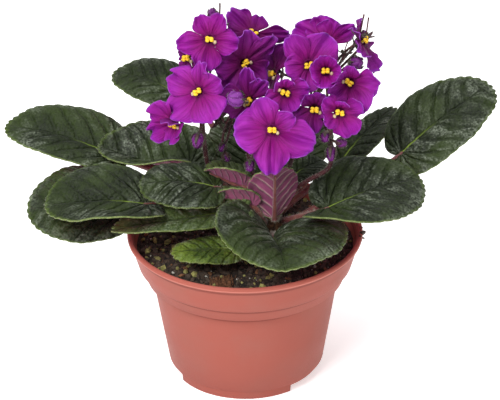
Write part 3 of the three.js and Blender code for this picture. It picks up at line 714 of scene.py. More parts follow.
def add_crumbs(name, count, sizes, colour):
    draw = random.Random(name)
    shape = Shape()
    for _ in range(count):
        x, y = spot_on_peat(draw, CRUMBS_REACH)
        size = lerp(*sizes, draw.random() ** 2.5)
        add_lump(shape, Vector((x, y, soil_height(x, y) + 0.15 * size)), size, draw)
    if name == "peat_crumbs":
        for x, y, z, size in RIM_CRUMBS:
            add_lump(shape, Vector((x, y, z)), size, draw)
    if name == "bark_grains":
        for x, y, size in LARGE_CHIPS:
            add_lump(shape, Vector((x, y, soil_height(x, y) + 0.4 * size)), size, draw)
    material = finish(name, crumb_recipe(colour), Roughness=0.9)
    return shape.made(name, [material], slot="soil", flat=True)


for kind, kind_facts in CRUMB_KINDS.items():
    crumbs = add_crumbs(kind, **kind_facts)
    print(kind, len(crumbs.data.polygons), "faces")

# %% [markdown]
# Fibres lie on the peat in all directions, a few of them over the rim, and a clump of combed
# coir lies in front. They could be hair curves, but thin bent tubes that taper to one end are
# real meshes, which every other program can read.

# %% Fibres
FIBRES = 95
RIM_FIBRES = 4
RIM_FIBRE_FROM = (57.5, -10)
RIM_FIBRE_STEP = (0.4, 2.5)
RIM_FIBRE_HEIGHT = 78.3
FIBRES_REACH = 52
PEAT_ENDS = 55
FIBRE_POINTS = 7
FIBRE_STEP = 1.1
FIBRE_RADIUS = 0.13
COIR_STRANDS = 110
COIR_X = (-18, -7)
COIR_Y = (-40, -33)
COIR_STEP = 1.5
COIR_RADIUS = 0.24


def loose_fibre(number, draw):
    """The path of a bent fibre on the peat. The first few lie over the rim instead."""
    x, y = spot_on_peat(draw, FIBRES_REACH)
    on_rim = number < RIM_FIBRES
    if on_rim:
        x, y = (a + b * number for a, b in zip(RIM_FIBRE_FROM, RIM_FIBRE_STEP))
    way = draw.uniform(0, 2 * math.pi)
    path = []
    for _ in range(FIBRE_POINTS):
        z = RIM_FIBRE_HEIGHT
        if math.hypot(x, y) < PEAT_ENDS:
            z = soil_height(x, y) + draw.uniform(0.1, 0.9)
        path.append(Vector((x, y, z)))
        way += draw.uniform(-0.7, 0.7)
        x += FIBRE_STEP * math.cos(way) * (0.4 if on_rim else 1)
        y += FIBRE_STEP * math.sin(way)
    return path


def coir_strand(draw):
    """The path of a strand in the combed clump, from back to front."""
    x, y = draw.uniform(*COIR_X), draw.uniform(*COIR_Y)
    path = []
    for _ in range(FIBRE_POINTS):
        path.append(Vector((x, y, soil_height(x, y) + draw.uniform(0.4, 1.5))))
        x += draw.uniform(-0.4, 0.4)
        y -= COIR_STEP
    return path


def add_fibres():
    draw = random.Random("fibres")
    shape = Shape()
    taper = [1 - 0.1 * k for k in range(FIBRE_POINTS)]
    for number in range(FIBRES):
        shape.tube(loose_fibre(number, draw), [FIBRE_RADIUS * share for share in taper], 4, 0)
    for _ in range(COIR_STRANDS):
        shape.tube(coir_strand(draw), [COIR_RADIUS * share for share in taper], 4, 0)
    fibre = finish("brown_fibre", crumb_recipe(paint(136, 92, 60)), Roughness=0.85)
    return shape.made("peat_fibres", [fibre], slot="soil")


print("fibres:", len(add_fibres().data.polygons), "faces")

# %% [markdown]
# ## Crown
# The crown is the plant's short stem. Old leaves leave scars on it, which make it knobbly, and
# its top is soft and green with the youngest growth. It could be sculpted, but little of it
# shows between the stalks, so rings that two waves push in and out do.

# %% Crown
CROWN = {"x": 12, "y": 8, "foot": 60, "shoulder": 88, "cap": 91.5, "top": 93,
         "radius": 6.8, "neck": 5.2}
CROWN_RINGS = 40
CROWN_SIDES = 48


def crown_radius(height):
    """From the crown's axis to its bark, at a height at which stalks may grow."""
    share = smooth(CROWN["shoulder"], CROWN["cap"], height)
    return lerp(CROWN["radius"], CROWN["neck"], share)


def crown_shape():
    shape = Shape()
    rings = []
    for r in range(CROWN_RINGS + 1):
        z = lerp(CROWN["foot"], CROWN["top"], r / CROWN_RINGS)
        dome = math.sqrt(max(1 - smooth(CROWN["cap"] - 0.5, CROWN["top"], z), 0.02))
        ring = []
        for i in range(CROWN_SIDES):
            turn = 2 * math.pi * i / CROWN_SIDES
            scar = 0.35 * math.sin(z * 1.9 + 2 * turn) * math.cos(3 * turn - z / 3)
            wide = crown_radius(z) * dome * (0.985 + 0.03 * scar)
            ring.append(shape.point(Vector((CROWN["x"] + wide * math.cos(turn),
                                            CROWN["y"] + wide * math.sin(turn), z)),
                                    (smooth(84, 92, z), 0, 0)))
        rings.append(ring)
    shape.barrel(rings, 0)
    return shape


def crown_recipe(start):
    scar = start.cloud(500, 4).between(0.35, 0.65)
    bark = scar.mixed(paint(58, 38, 26), paint(120, 88, 58))
    green = scar.mixed(paint(74, 84, 44), paint(112, 118, 66))
    return {"Base Color": start.value("fresh").mixed(bark, green),
            "Normal": start.raised(scar, 0.4)}


crown_bark = finish("crown_bark", crown_recipe, Roughness=0.8)
crown = crown_shape().made("crown_knobbly", [crown_bark], "crown", "bark", ("fresh",))
print("crown faces:", len(crown.data.polygons))

# %% [markdown]
# ## Leaves
# A violet leaf is a thick, heart-shaped blade on a long stalk. One leaf could be copied and
# turned, but the two halves of a real blade lift to different degrees, which is what makes
# each leaf look different. So every leaf has a row: where the stalk meets the blade, the tip,
# the arch of the rib, how the stalk leaves the crown, and for each half its width, its lift at
# base and tip, its curl, and its lobe: 1 gives a full heart, less makes the lobe fuller, and
# more tapers it.

# %% Leaf rows
def half(width, lift, curl=0, lobe=1):
    return {"width": width, "lift": lift, "curl": curl, "lobe": lobe}


def leaf(base, tip, arch, root, left, right, rise=25, notch=75):
    return {"base": Vector(base), "tip": Vector(tip), "arch": arch, "root": root,
            "left": left, "right": right, "rise": rise, "notch": math.radians(notch)}


LEAVES = {
    "leaf_back_left": leaf((-30, 58, 124), (-67.5, 75, 131.3), 3, (128, 75),
                           half(16.5, (-2, -6), -6), half(21, (8, 10))),
    "leaf_left_long": leaf((-66, 34, 103.5), (-123, 49, 114.5), 3, (166, 80.5),
                           half(21, (-2, -8), 4), half(23.6, (21, 18))),
    "leaf_left_folded": leaf((-28, 25, 101), (-75, 36, 109.5), -3, (152, 86),
                             half(17, (44, -4), 6), half(25, (44, 30), 0, 0.6), notch=82),
    "leaf_left_low": leaf((-60, -1, 91), (-110, -6, 94), 2, (192, 75),
                          half(22, (-12, -20), -6, 1.4), half(30, (18, 20))),
    "leaf_left_broad": leaf((-50, -10, 99.5), (-100, -19, 103), 3, (204, 80.5),
                            half(27, (0, -6), 14, 0.8), half(25, (24, 16), 0, 0.8), rise=50),
    "leaf_left_upper": leaf((-15, -3, 105), (-53, -6, 108), 3, (188, 86),
                            half(22, (4, -6), -8), half(18.5, (4, 8))),
    "leaf_front_left": leaf((-4, -11.5, 96.3), (-67, -26, 94), 0, (236, 80.5),
                            half(12, (-6, 14)), half(12, (30, 24))),
    "leaf_front_small": leaf((-4, -25, 82), (-37, -31, 83), 1, (250, 75),
                             half(12, (-14, -10)), half(12, (4, 0))),
    "leaf_front_heart": leaf((14, -17, 83), (20, -59, 89), 3, (284, 75),
                             half(36, (26, 6), -10, 0.8), half(35, (50, 10), -8, 0.6)),
    "leaf_right_broad": leaf((42, -10, 96), (90.2, 5, 103.6), 3, (334, 80.5),
                             half(27.5, (18, 8)), half(30, (16, -26), 0, 0.42), notch=83),
    "leaf_right_long": leaf((80.5, 34, 103), (129, 60, 128), 3, (12, 75),
                            half(22.5, (22, 18), 0, 1.5), half(21, (-16, -16), 0, 0.8), notch=83),
    "leaf_right_back": leaf((50, 41, 95), (80, 70, 111.5), 3, (40, 80.5),
                            half(9.5, (2, 4)), half(12, (2, -4))),
    "leaf_back_small": leaf((24, 23, 96), (42, 39, 96), 2, (60, 86),
                            half(13, (20, 10)), half(12, (6, 0))),
    "leaf_back_tall": leaf((4, 29, 98), (-1, 57, 116), 2, (104, 80.5),
                           half(22, (4, 0), 0, 1.1), half(15, (10, 0))),
    "leaf_back_low": leaf((27, 50, 90), (33, 84, 98), 3, (72, 75),
                          half(18, (8, 4)), half(18, (8, 4))),
    "leaf_young_left": leaf((0, 4, 102), (-20, 4, 111.5), 0, (218, 86),
                            half(12, (62, 50)), half(11, (30, 20))),
    "leaf_young_front": leaf((4, -5, 95.5), (-18, -8, 103), 1, (256, 83),
                             half(12, (66, 52)), half(8, (30, 16))),
    "leaf_young_right": leaf((14.5, -5, 88), (15.4, -9, 119), 0, (300, 86),
                             half(14.5, (30, 12), 0, 3), half(14.5, (30, 12), 0, 3)),
}
print(len(LEAVES), "leaves, the longest blade in mm:",
      round(max((row["tip"] - row["base"]).length for row in LEAVES.values())))

# %% [markdown]
# The blade is drawn as rays from the stalk to the edge. A plane could be cut to the outline
# and subdivided, but rays keep the points in the leaf's own order, so the teeth, the veins and
# the finish can all count along them. A cardioid has the leaf's outline with its notch. The
# side veins leave the rib at a slant and fan out behind the stalk, and the tissue puffs up
# between them. Each point keeps three numbers for the finish: how many veins it is along, how
# far it is from the rib, and how near the edge.

# %% Blade surface
VEINS_A_SIDE = 5.6
VEIN_SLANT = 0.7
VEIN_CURVE = 0.012
VEIN_WANDER = 0.3
VEIN_FAN = math.radians(24)
PUFF = 1.1
RIB_GROOVE = 0.7
RIB_GROOVE_WIDTH = 1.7
EDGE_WAVE = 1.5
CRINKLE = 0.5
EDGE_DROP = 0.9


class Blade:
    """Where a leaf's surface lies, from its row."""

    def __init__(self, facts):
        run = facts["tip"] - facts["base"]
        self.facts = facts
        self.length = run.length
        self.ahead, self.side, self.over = frame_along(run)
        self.wide = facts["left"]["width"] + facts["right"]["width"]
        self.vein_gap = self.length / VEINS_A_SIDE
        self.own_noise = facts["tip"] * 0.37

    def part(self, across):
        return self.facts["left"] if across >= 0 else self.facts["right"]

    def at(self, along, across):
        """The middle of the blade's thickness, before the puffs and waves are added."""
        share = along / self.length
        part = self.part(across)
        reach = abs(across)
        rise = math.radians(lerp(*part["lift"], share) + part["curl"] * reach / part["width"])
        up = self.facts["arch"] * 4 * max(share, 0) * (1 - share) + reach * math.sin(rise)
        return (self.facts["base"] + self.ahead * along + self.over * up
                + self.side * math.copysign(reach * math.cos(rise), across))

    def outline(self, k, out):
        """A point on ray k, -1 to 1 round the leaf, a share out of the way to the edge."""
        part = self.part(k)
        lobe = part["lobe"]

        def reach(turn):
            return ((1 + math.cos(turn)) / 2) ** lobe

        turn = 2 * math.asin(k * math.sin(self.facts["notch"]))
        widest = math.acos(lobe / (lobe + 1))
        across = reach(turn) * math.sin(turn) / (reach(widest) * math.sin(widest))
        return self.length * out * reach(turn) * math.cos(turn), part["width"] * out * across

    def vein(self, along, across):
        """How many side veins along the leaf a point is, counted fan-wise behind the stalk."""
        straight = along - VEIN_CURVE * across * across
        slanted = straight - VEIN_SLANT * abs(across)
        if slanted >= 0:
            spot = Vector((along / 12, across / 12, 2)) + self.own_noise
            wander = VEIN_WANDER * noise.noise(spot) * smooth(0, 5, slanted)
            return slanted / self.vein_gap + wander
        turn = math.atan2(abs(across), straight) - math.atan2(1, VEIN_SLANT)
        return -turn / VEIN_FAN

    def relief(self, along, across, out):
        """Puffs between the veins, a groove over the rib and slow waves near the edge."""
        puff = abs(math.sin(math.pi * self.vein(along, across))) ** 0.8
        puff *= smooth(0, 0.2, out) * (1 - smooth(0.72, 0.98, out)) * smooth(0.5, 6, abs(across))
        groove = math.exp(-(across / RIB_GROOVE_WIDTH) ** 2)
        groove *= 1 - smooth(0.7, 0.97, along / self.length)
        wave = noise.noise(Vector((along / 13, across / 13, 0)) + self.own_noise)
        crinkle = noise.noise(Vector((along / 2.6, across / 2.6, 5)) + self.own_noise)
        turned_down = smooth(0.86, 1, out)
        return (PUFF * puff - RIB_GROOVE * groove + EDGE_WAVE * wave * smooth(0.3, 1, out)
                + CRINKLE * crinkle * (1 - turned_down) - EDGE_DROP * turned_down)

    def spot(self, k, out, tooth=1.0):
        """A point of the surface and its three numbers. A tooth below 1 cuts into the edge."""
        along, across = self.outline(k, out * tooth)
        place = self.at(along, across) + self.over * self.relief(along, across, out)
        return place, (self.vein(along, across), across, out)


broadest = max((Blade(row) for row in LEAVES.values()), key=lambda blade: blade.wide)
print("the broadest blade is", round(broadest.wide), "mm, with a side vein every",
      round(broadest.vein_gap, 1), "mm")

# %% [markdown]
# A leaf is one growth: the blade with its small rounded teeth, the stalk, and the rib that
# the stalk turns into under the blade. The stalk could be a Curve object with a bevel, but a
# tube that is made point by point also says where its bark is, and the hairs need that. It
# leaves the crown's bark at the height and direction in the row, and bends smoothly into the
# blade. Short hairs stand on the stalk and round the edge, where they show against the light.

# %% Leaf shape
BLADE_THICKNESS = 0.8
BLADE_RINGS = 24
TOOTH_LENGTH = 3.2
TOOTH_DEPTH = 0.4
RAYS_A_TOOTH = 4
HUB_DROP = 0.6
SEAT_GAP = 0.3
SEAT_TILT = 0.6
STALK_RADIUS = 1.9
STALK_END_RADIUS = 1.45
STALK_DROP = 1.2
STALK_STEPS = 18
STALK_SIDES = 10
STALK_HAIRS = 260
RIB_REACH = 0.85
RIB_STEPS = 11
RIB_END_RADIUS = 0.35
EDGE_HAIRS_A_MM = 3.2
LEAF_LOOKS = {"upper": 0, "under": 1, "edge": 2, "stalk": 3, "hair": 4}


def bezier_path(start, leave, arrive, end, steps):
    """A curve from start to end, pulled towards the two points between them."""
    path = []
    for i in range(steps + 1):
        t = i / steps
        s = 1 - t
        path.append(start * s ** 3 + leave * 3 * s * s * t + arrive * 3 * s * t * t
                    + end * t ** 3)
    return path


def seat_on_crown(root, radius):
    """Where the middle of a stalk starts, just off the bark."""
    turned, height = root
    middle = Vector((CROWN["x"], CROWN["y"], height))
    return middle + heading(turned, 0) * (crown_radius(height) + SEAT_GAP + SEAT_TILT * radius)


def stalk_path(blade):
    """The stalk from the crown to the blade, then the rib under the blade, with its radii."""
    facts = blade.facts
    foot = seat_on_crown(facts["root"], STALK_RADIUS)
    join = blade.at(0, 0) - blade.over * STALK_DROP
    reach = (join - foot).length
    out = heading(facts["root"][0], facts["rise"])
    path = bezier_path(foot, foot + out * reach * 0.4, join - blade.ahead * reach * 0.3, join,
                       STALK_STEPS)
    radii = [lerp(STALK_RADIUS, STALK_END_RADIUS, i / STALK_STEPS)
             for i in range(STALK_STEPS + 1)]
    for i in range(1, RIB_STEPS + 1):
        share = RIB_REACH * i / RIB_STEPS
        radius = lerp(STALK_END_RADIUS, RIB_END_RADIUS, share ** 0.6)
        under = blade.over * (BLADE_THICKNESS + radius * 0.95 + 0.5 * (1 - share))
        path.append(blade.at(share * blade.length, 0) - under)
        radii.append(radius)
    return path, radii


def blade_rows(blade, round_edge):
    """Rings of points from the stalk to the edge, the last ones toothed."""
    teeth = 2 * round(round_edge / TOOTH_LENGTH / 2)
    rays = RAYS_A_TOOTH * teeth
    rows = []
    for r in range(1, BLADE_RINGS + 1):
        out = (r / BLADE_RINGS) ** 0.9
        row = []
        for i in range(rays + 1):
            k = 2 * i / rays - 1
            notch = 1 - abs(math.cos(math.pi * teeth * (k + 1) / 2))
            deep = TOOTH_DEPTH / (blade.wide / 2) * notch * smooth(0.85, 1, out)
            row.append(blade.spot(k, out, 1 - deep))
        rows.append(row)
    return rows


def leaf_shape(facts, draw):
    blade = Blade(facts)
    shape = Shape()
    round_edge = 1.15 * (blade.length + blade.wide)
    rows = blade_rows(blade, round_edge)
    hub = (blade.at(0, 0) - blade.over * HUB_DROP, NO_VALUES)
    looks = (LEAF_LOOKS["upper"], LEAF_LOOKS["under"], LEAF_LOOKS["edge"])
    shape.sheet(rows, blade.over, BLADE_THICKNESS, looks, hub)
    path, radii = stalk_path(blade)
    bark = shape.tube(path, radii, STALK_SIDES, LEAF_LOOKS["stalk"])
    shape.hairs(bark[:STALK_STEPS + 2], STALK_HAIRS, 1.7, LEAF_LOOKS["hair"], draw)
    edge = [place for place, _ in rows[-1]]
    inner = [place for place, _ in rows[-3]]
    for _ in range(round(round_edge * EDGE_HAIRS_A_MM)):
        i = draw.randrange(len(edge))
        out = (edge[i] - inner[i]).normalized()
        lean = Vector([draw.uniform(-0.7, 0.7) for _ in range(3)])
        tip = edge[i] + (out + lean).normalized() * draw.uniform(0.5, 1.1)
        shape.hair(edge[i] - out * 0.2, tip, LEAF_LOOKS["hair"], 0.035)
    return shape


print("points round the broadest blade:",
      len(blade_rows(broadest, 1.15 * (broadest.length + broadest.wide))[-1]))

# %% [markdown]
# The upper side is dark green under a pelt of fine pale hairs, which gives a violet its grey
# bloom. A million hairs could be grown, but a little sheen on the shader and silvery streaks of
# painted sheen that follow the veins look the same from here, and near the edge the pale hairs
# are mixed with painted sheen. The sunk veins are darkened with painted shade, the rib is lime
# green near the stalk, and so is the very edge. The underside is washed with red-purple. The
# youngest leaves and two low ones in front are paler, the front left one as a painted-lit copy
# where the light falls on it, so the same recipe takes several sets of colours.

# %% Leaf finishes
LEAF_LIME = paint(82, 100, 40)
RIB_LIME = paint(132, 156, 62)
# Silver of the pale hairs near the edge, and of the painted sheen on the blade.
SILVER_HAIR_AND_SHEEN = paint(152, 160, 144)
# The dark and the middle green of an upper side, and the lime of its edge.
UPPER_SIDES = {
    "leaf_upper_side": (paint(16, 24, 8), paint(49, 63, 24), LEAF_LIME),
    "young_leaf_upper_side": (paint(44, 54, 24), paint(74, 84, 42), LEAF_LIME),
    "small_leaf_upper_side": (paint(40, 56, 18), paint(104, 126, 40), paint(128, 138, 60)),
    # A lighter copy of the green for the front left leaf, where the light falls on it: painted
    # light.
    "painted_lit_leaf_upper_side": (paint(46, 60, 26), paint(98, 116, 60), LEAF_LIME),
}
# The sheen of an underside, its wash, its patches and its veins.
UNDER_SIDES = {
    "leaf_under_side": (0.3, paint(186, 82, 136), paint(142, 100, 92), paint(110, 34, 72)),
    "young_leaf_under_side": (0.2, paint(142, 62, 104), paint(78, 50, 54),
                              paint(188, 160, 148)),
}
OWN_UPPER = {"leaf_front_small": "small_leaf_upper_side",
             "leaf_front_left": "painted_lit_leaf_upper_side"}
OWN_UNDER = {"leaf_young_right": "young_leaf_under_side"}


def vein_lines(start, width):
    """1 on the side veins and on the rib, 0 between them. Then the rib alone."""
    nearest = start.math("FRACT", start.value("vein") + 0.5) - 0.5
    side_vein = 1 - nearest.size().between(0.0, width)
    rib = 1 - start.value("across").size().between(0.2, 0.9)
    return start.math("MAXIMUM", side_vein, rib), rib


def upper_recipe(dark, mid, lime):
    def recipe(start):
        veins, rib = vein_lines(start, 0.2)
        edge = start.value("edge")
        patch = start.cloud(45, 3).between(0.38, 0.66)
        grain = start.cloud(900, 3).between(0.3, 0.75)
        colour = (0.6 * patch + 0.4 * grain).mixed(dark, mid)
        # The sunk veins darken: painted shade in their grooves.
        colour = (veins * 0.4 * (1 - edge.between(0.6, 0.95))).mixed(colour, dark)
        colour = (rib * (1 - edge.between(0.05, 0.45))).mixed(colour, RIB_LIME)
        fray = start.cloud(160, 2).between(0.3, 0.7)
        colour = (edge.between(0.955, 1.0) * (0.35 + 0.5 * fray)).mixed(colour, lime)
        # Near the edge: the pale hairs' own colour, partly painted sheen.
        fuzz = edge.between(0.8, 1.0) * start.cloud(55, 3).between(0.42, 0.7)
        colour = (fuzz * grain * 0.45).mixed(colour, SILVER_HAIR_AND_SHEEN)
        # Silvery streaks along the veins: painted sheen, where the hairs would catch the light.
        along_veins = start.joined(start.value("vein") * 1.7, start.value("across") * 0.11)
        streak = start.cloud(1.1, 4, at=along_veins, rough=0.65).between(0.4, 0.7)
        painted_sheen = streak * start.cloud(38, 2).between(0.4, 0.62) * (1 - veins)
        colour = (painted_sheen * grain * 0.75).mixed(colour, SILVER_HAIR_AND_SHEEN)
        cells = start.node("ShaderNodeTexVoronoi", {}, {
            "Vector": start.place(), "Scale": 480.0}, output="Distance")
        height = grain * 0.25 + cells * -0.7 - veins * 0.8
        return {"Base Color": colour, "Roughness": 0.5 - 0.16 * painted_sheen + 0.1 * grain,
                "Normal": start.raised(height, 0.75)}
    return recipe


def under_recipe(wash, patch_colour, vein_colour):
    def recipe(start):
        veins, _ = vein_lines(start, 0.16)
        patch = start.cloud(90, 3).between(0.3, 0.7)
        colour = (patch * 0.5).mixed(wash, patch_colour)
        colour = (veins * 0.6).mixed(colour, vein_colour)
        return {"Base Color": colour, "Normal": start.raised(veins + start.cloud(900), 0.4)}
    return recipe


def lime_recipe(start):
    grain = start.cloud(500, 2).between(0.3, 0.7)
    return {"Base Color": grain.mixed(LEAF_LIME, paint(120, 132, 72))}


def stalk_recipe(red, pale):
    def recipe(start):
        streak = start.cloud(260, 4).between(0.3, 0.7)
        return {"Base Color": streak.mixed(red, pale),
                "Normal": start.raised(start.cloud(1500, 3), 0.3)}
    return recipe


def hair_recipe(start):
    return {"Base Color": start.cloud(300).mixed(paint(150, 148, 130), paint(186, 184, 168))}


upper_sides = {name: finish(name, upper_recipe(*colours), Sheen_Weight=0.03,
                            Sheen_Roughness=0.3, Specular_IOR_Level=0.22)
               for name, colours in UPPER_SIDES.items()}
under_sides = {name: finish(name, under_recipe(*colours), Roughness=0.6, Sheen_Weight=sheen)
               for name, (sheen, *colours) in UNDER_SIDES.items()}
leaf_edge = finish("leaf_lime_edge", lime_recipe, Roughness=0.6)
leaf_stalk = finish("leaf_stalk", stalk_recipe(paint(104, 36, 46), paint(124, 70, 56)),
                    Roughness=0.55, Sheen_Weight=0.3)
pale_hair = finish("pale_hair", hair_recipe, Roughness=0.6)
print("leaf finishes:", ", ".join([*upper_sides, *under_sides]))

# %% [markdown]
# Now the leaves are made. Each draws its hairs by chance, and could take its chances from one
# long series. But then a longer blade would move the hairs of every leaf after it, so each
# leaf has its own name as the seed.

# %% Leaves
def leaf_finishes(name):
    """The finishes of a leaf, in the order of LEAF_LOOKS."""
    usual = "young_leaf_upper_side" if "young" in name else "leaf_upper_side"
    upper = upper_sides[OWN_UPPER.get(name, usual)]
    under = under_sides[OWN_UNDER.get(name, "leaf_under_side")]
    return [upper, under, leaf_edge, leaf_stalk, pale_hair]


leaf_faces = 0
for leaf_name, leaf_facts in LEAVES.items():
    piece = leaf_shape(leaf_facts, random.Random(leaf_name)).made(
        leaf_name + "_blade", leaf_finishes(leaf_name), leaf_name, "leaf",
        ("vein", "across", "edge"))
    leaf_faces += len(piece.data.polygons)
print("leaf faces:", leaf_faces)

# %% [markdown]
# ## Blooms
# A violet's corolla is one piece: five rounded petals on a short throat. They overlap like a
# pinwheel and their ends are ruffled. One bloom could be copied and turned, but in a crowded
# cluster every petal is held back or hidden by its neighbours in another way. So every bloom
# has a row: its middle, the way it faces, its tone and its five petals, each with its
# direction in degrees from the bloom's right, its length and half width in mm, its lift in
# degrees and its twist. Then come the turn of what stands in the throat and behind it, and
# how far the petals' ends roll back.

# %% Bloom rows
def bloom(at, faces, tone, petals, turn=0, roll=0.1):
    return {"at": Vector(at), "faces": faces, "tone": tone, "petals": petals, "turn": turn,
            "roll": roll}


BLOOMS = {
    "top_left": bloom((-16.5, 13, 179.6), (268, 25), "plain", [
        (66, 15, 5.6, 14, -0.3), (114, 14, 5.6, 12, 0.3), (191, 17.8, 6.2, 10, 0.2),
        (262, 17, 7.6, 8, -0.15), (350, 15.5, 7, 12, 0.25)], -4),
    "top_left_rear": bloom((-27.5, 28, 162.6), (235, 5), "dark", [
        (58, 9, 4.2, 20, 0.2), (122, 6.5, 4, 30, 0.2), (192, 5.5, 4, 34, 0.2),
        (262, 9.5, 5, 24, 0.2), (348, 12, 6, 16, 0.2)]),
    "left": bloom((-22, -1, 158), (246, 18), "light", [
        (36, 16.5, 6.6, 22, 0.5), (86, 17, 5.4, 20, -0.4), (160, 19, 8.2, 12, 0.3),
        (226, 21, 10.5, 8, 0.15), (308, 18, 10.5, 12, -0.2)], 12, 0.12),
    "left_side": bloom((-34.6, 1.6, 139), (236, -10), "plain", [
        (78, 10, 6, 72, 0.3), (142, 16, 7.4, 14, 0.5), (214, 19, 6.6, 16, 0.3),
        (262, 12, 5.5, 40, 0.3), (330, 8, 5, 44, -0.3)], 0, 0.05),
    "upper_middle": bloom((0.5, 17, 164.4), (294, 5), "dark", [
        (32, 22, 6.4, 14, 0.5), (88, 19, 8.8, 12, 0.1), (165, 18.5, 9, 10, 0.2),
        (228, 18, 9.5, 12, 0.2), (306, 16.5, 10, 16, -0.3)], 22),
    "top_rear": bloom((5.6, 34, 172), (262, 38), "dark", [
        (1, 20, 3.8, 12, 0.7), (76, 10.5, 6.2, 14, -0.2), (139, 18.2, 7, 8, 0.2),
        (202, 17, 8, 12, 0.2), (300, 12, 7, 18, -0.2)], 0, 0.05),
    "middle": bloom((3, 5, 149.5), (255, 10), "dark", [
        (56, 17, 5.2, 24, 0.6), (92, 19.5, 5.8, 18, -0.5), (186, 16.5, 9, 10, 0.2),
        (238, 14, 8, 16, 0.2), (318, 11, 6, 24, -0.2)], 30),
    "middle_side": bloom((16, 28, 152.5), (200, 16), "dark", [
        (92, 19, 6, -14, 1.5), (142, 14, 6, 10, 0.8), (206, 15, 7, 6, 0.6),
        (270, 16, 7, 10, 0.6), (336, 13, 6.5, 16, 0.5)]),
    "front": bloom((14, -9, 140), (272, 24), "light", [
        (32, 15, 6.2, 26, 0.5), (112, 18.5, 8, 14, -0.2), (181, 20, 11.5, 8, 0.2),
        (268, 23.6, 9, 6, 0.1), (338, 24, 10.2, 8, -0.25)], -8, 0.12),
    "front_right": bloom((20.5, 1.5, 155.6), (280, 12), "plain", [
        (2, 13.4, 6.8, 12, 0.2), (74, 9.5, 4, 40, -0.6), (130, 9.5, 4, 42, 0.5),
        (206, 12, 6, 24, 0.2), (290, 12, 6.2, 20, -0.2)], -52),
    "right_inner": bloom((35.5, 2.8, 145.4), (268, 12), "dark", [
        (62, 13, 4.6, 40, -0.8), (122, 12, 4.4, 42, 0.8), (206, 14, 5.4, 26, 0.5),
        (266, 14.5, 5, 22, -0.5), (334, 9, 4, 48, 0.5)], -10),
    "right_low": bloom((47.5, -9, 149.5), (276, 14), "plain", [
        (12, 13.5, 6.4, 24, 0.6), (76, 10, 4.2, 56, -0.8), (140, 13.5, 5.2, 34, 0.9),
        (222, 12.5, 6, 40, -0.7), (296, 15.5, 7.6, 18, 0.5)], 10, 0.2),
    "right": bloom((53.4, 7, 157.7), (250, 24), "light", [
        (2, 16.2, 8, 12, 0.3), (84, 11, 5.5, 40, -0.5), (150, 9, 5, 50, 0.5),
        (222, 13, 7, 22, -0.2), (304, 18, 9, 12, 0.2)], -20, 0.15),
    "right_cup": bloom((41, 0, 167.5), (268, 34), "plain", [
        (62, 11.5, 5.5, 58, 0.5), (124, 11.5, 5.5, 56, -0.5), (196, 12, 6.5, 52, 0.4),
        (264, 13.5, 6.5, 46, 0.4), (338, 12, 6, 54, -0.4)], 0, 0),
    "upper_right": bloom((33, 16.5, 163), (270, 22), "light", [
        (52, 19.5, 10, 14, 0.15), (124, 19.5, 7.2, 16, -0.35), (184, 14, 7, 26, 0.3),
        (262, 15, 8, 18, 0.1), (332, 16, 8, 22, -0.2)], 4),
    "top_right_rear": bloom((43, 42, 162), (262, 28), "plain", [
        (34, 19, 4.6, 20, 0.8), (80, 13.5, 7.5, 14, 0.1), (114, 16, 8.5, 12, -0.1),
        (156, 20.5, 8.5, 10, 0.2), (268, 13, 7, 18, 0.1)]),
    "far_right": bloom((60, 24, 172), (350, 30), "dark", [
        (40, 13, 4.4, 10, 0.5), (118, 12, 4.6, 14, 0.4), (186, 14, 6, 14, 0.2),
        (262, 18, 5.4, 4, 0.2), (338, 13.5, 5.4, 6, 0.3)]),
}
print(len(BLOOMS), "blooms, the longest petal in mm:",
      max(petal[1] for row in BLOOMS.values() for petal in row["petals"]))

# %% [markdown]
# Each petal is a sheet that starts narrow at the throat, is widest past its middle and has a
# rounded end. A subdivided plane could be bent by hand, but seventeen blooms have 85 petals,
# so sums of waves and noise do it: a soft fold along the middle, slow ruffles, a fine frill
# near the end and a small notch in it. The throat is one more sheet, turned round the bloom's
# axis. Each point keeps how far out it is, where it is across, and how near the rim.

# %% Corolla shape
PETAL_THICKNESS = 0.35
PETAL_ROWS = 16
PETAL_COLUMNS = 22
# Parts of a petal's length: how deep it is torn, rounded, ruffled, frilled, folded, notched.
PETAL_TORN = 0.05
PETAL_ROUNDED = 0.36
PETAL_RUFFLE = 0.26
PETAL_FRILL = 0.055
PETAL_FOLD = 0.1
PETAL_NOTCH = 0.05
# The finishes of a sheet: face, back and edge.
PETAL_LOOKS = (0, 1, 0)
THROAT_RADIUS = 2.4
THROAT_DEPTH = 2.3
THROAT_SIDES = 24
# Rings of the throat: radius, height over the bloom's middle, and how far out they count.
THROAT_RINGS = [(0.3, -THROAT_DEPTH, -0.4), (1.3, -1.7, -0.25), (2.0, -0.6, -0.1),
                (2.5, 0.15, 0.0), (2.9, 0.25, 0.02)]


class Face:
    """A bloom's own directions: to its right, towards its upper petals, out of its face."""

    def __init__(self, at, faces, turn=0):
        self.middle = at
        self.ahead, side, over = frame_along(heading(*faces))
        spin = Matrix.Rotation(math.radians(turn), 3, self.ahead)
        self.right = spin @ side
        self.above = spin @ over

    def place(self, x, y, z):
        return self.middle + self.right * x + self.above * y + self.ahead * z


def petal_width(out):
    """Share of the full width: narrow at the throat, widest past the middle, then rounded."""
    return lerp(0.26, 1, math.sin(math.pi / 2 * min(out / 0.66, 1))) - 0.1 * smooth(0.7, 1, out)


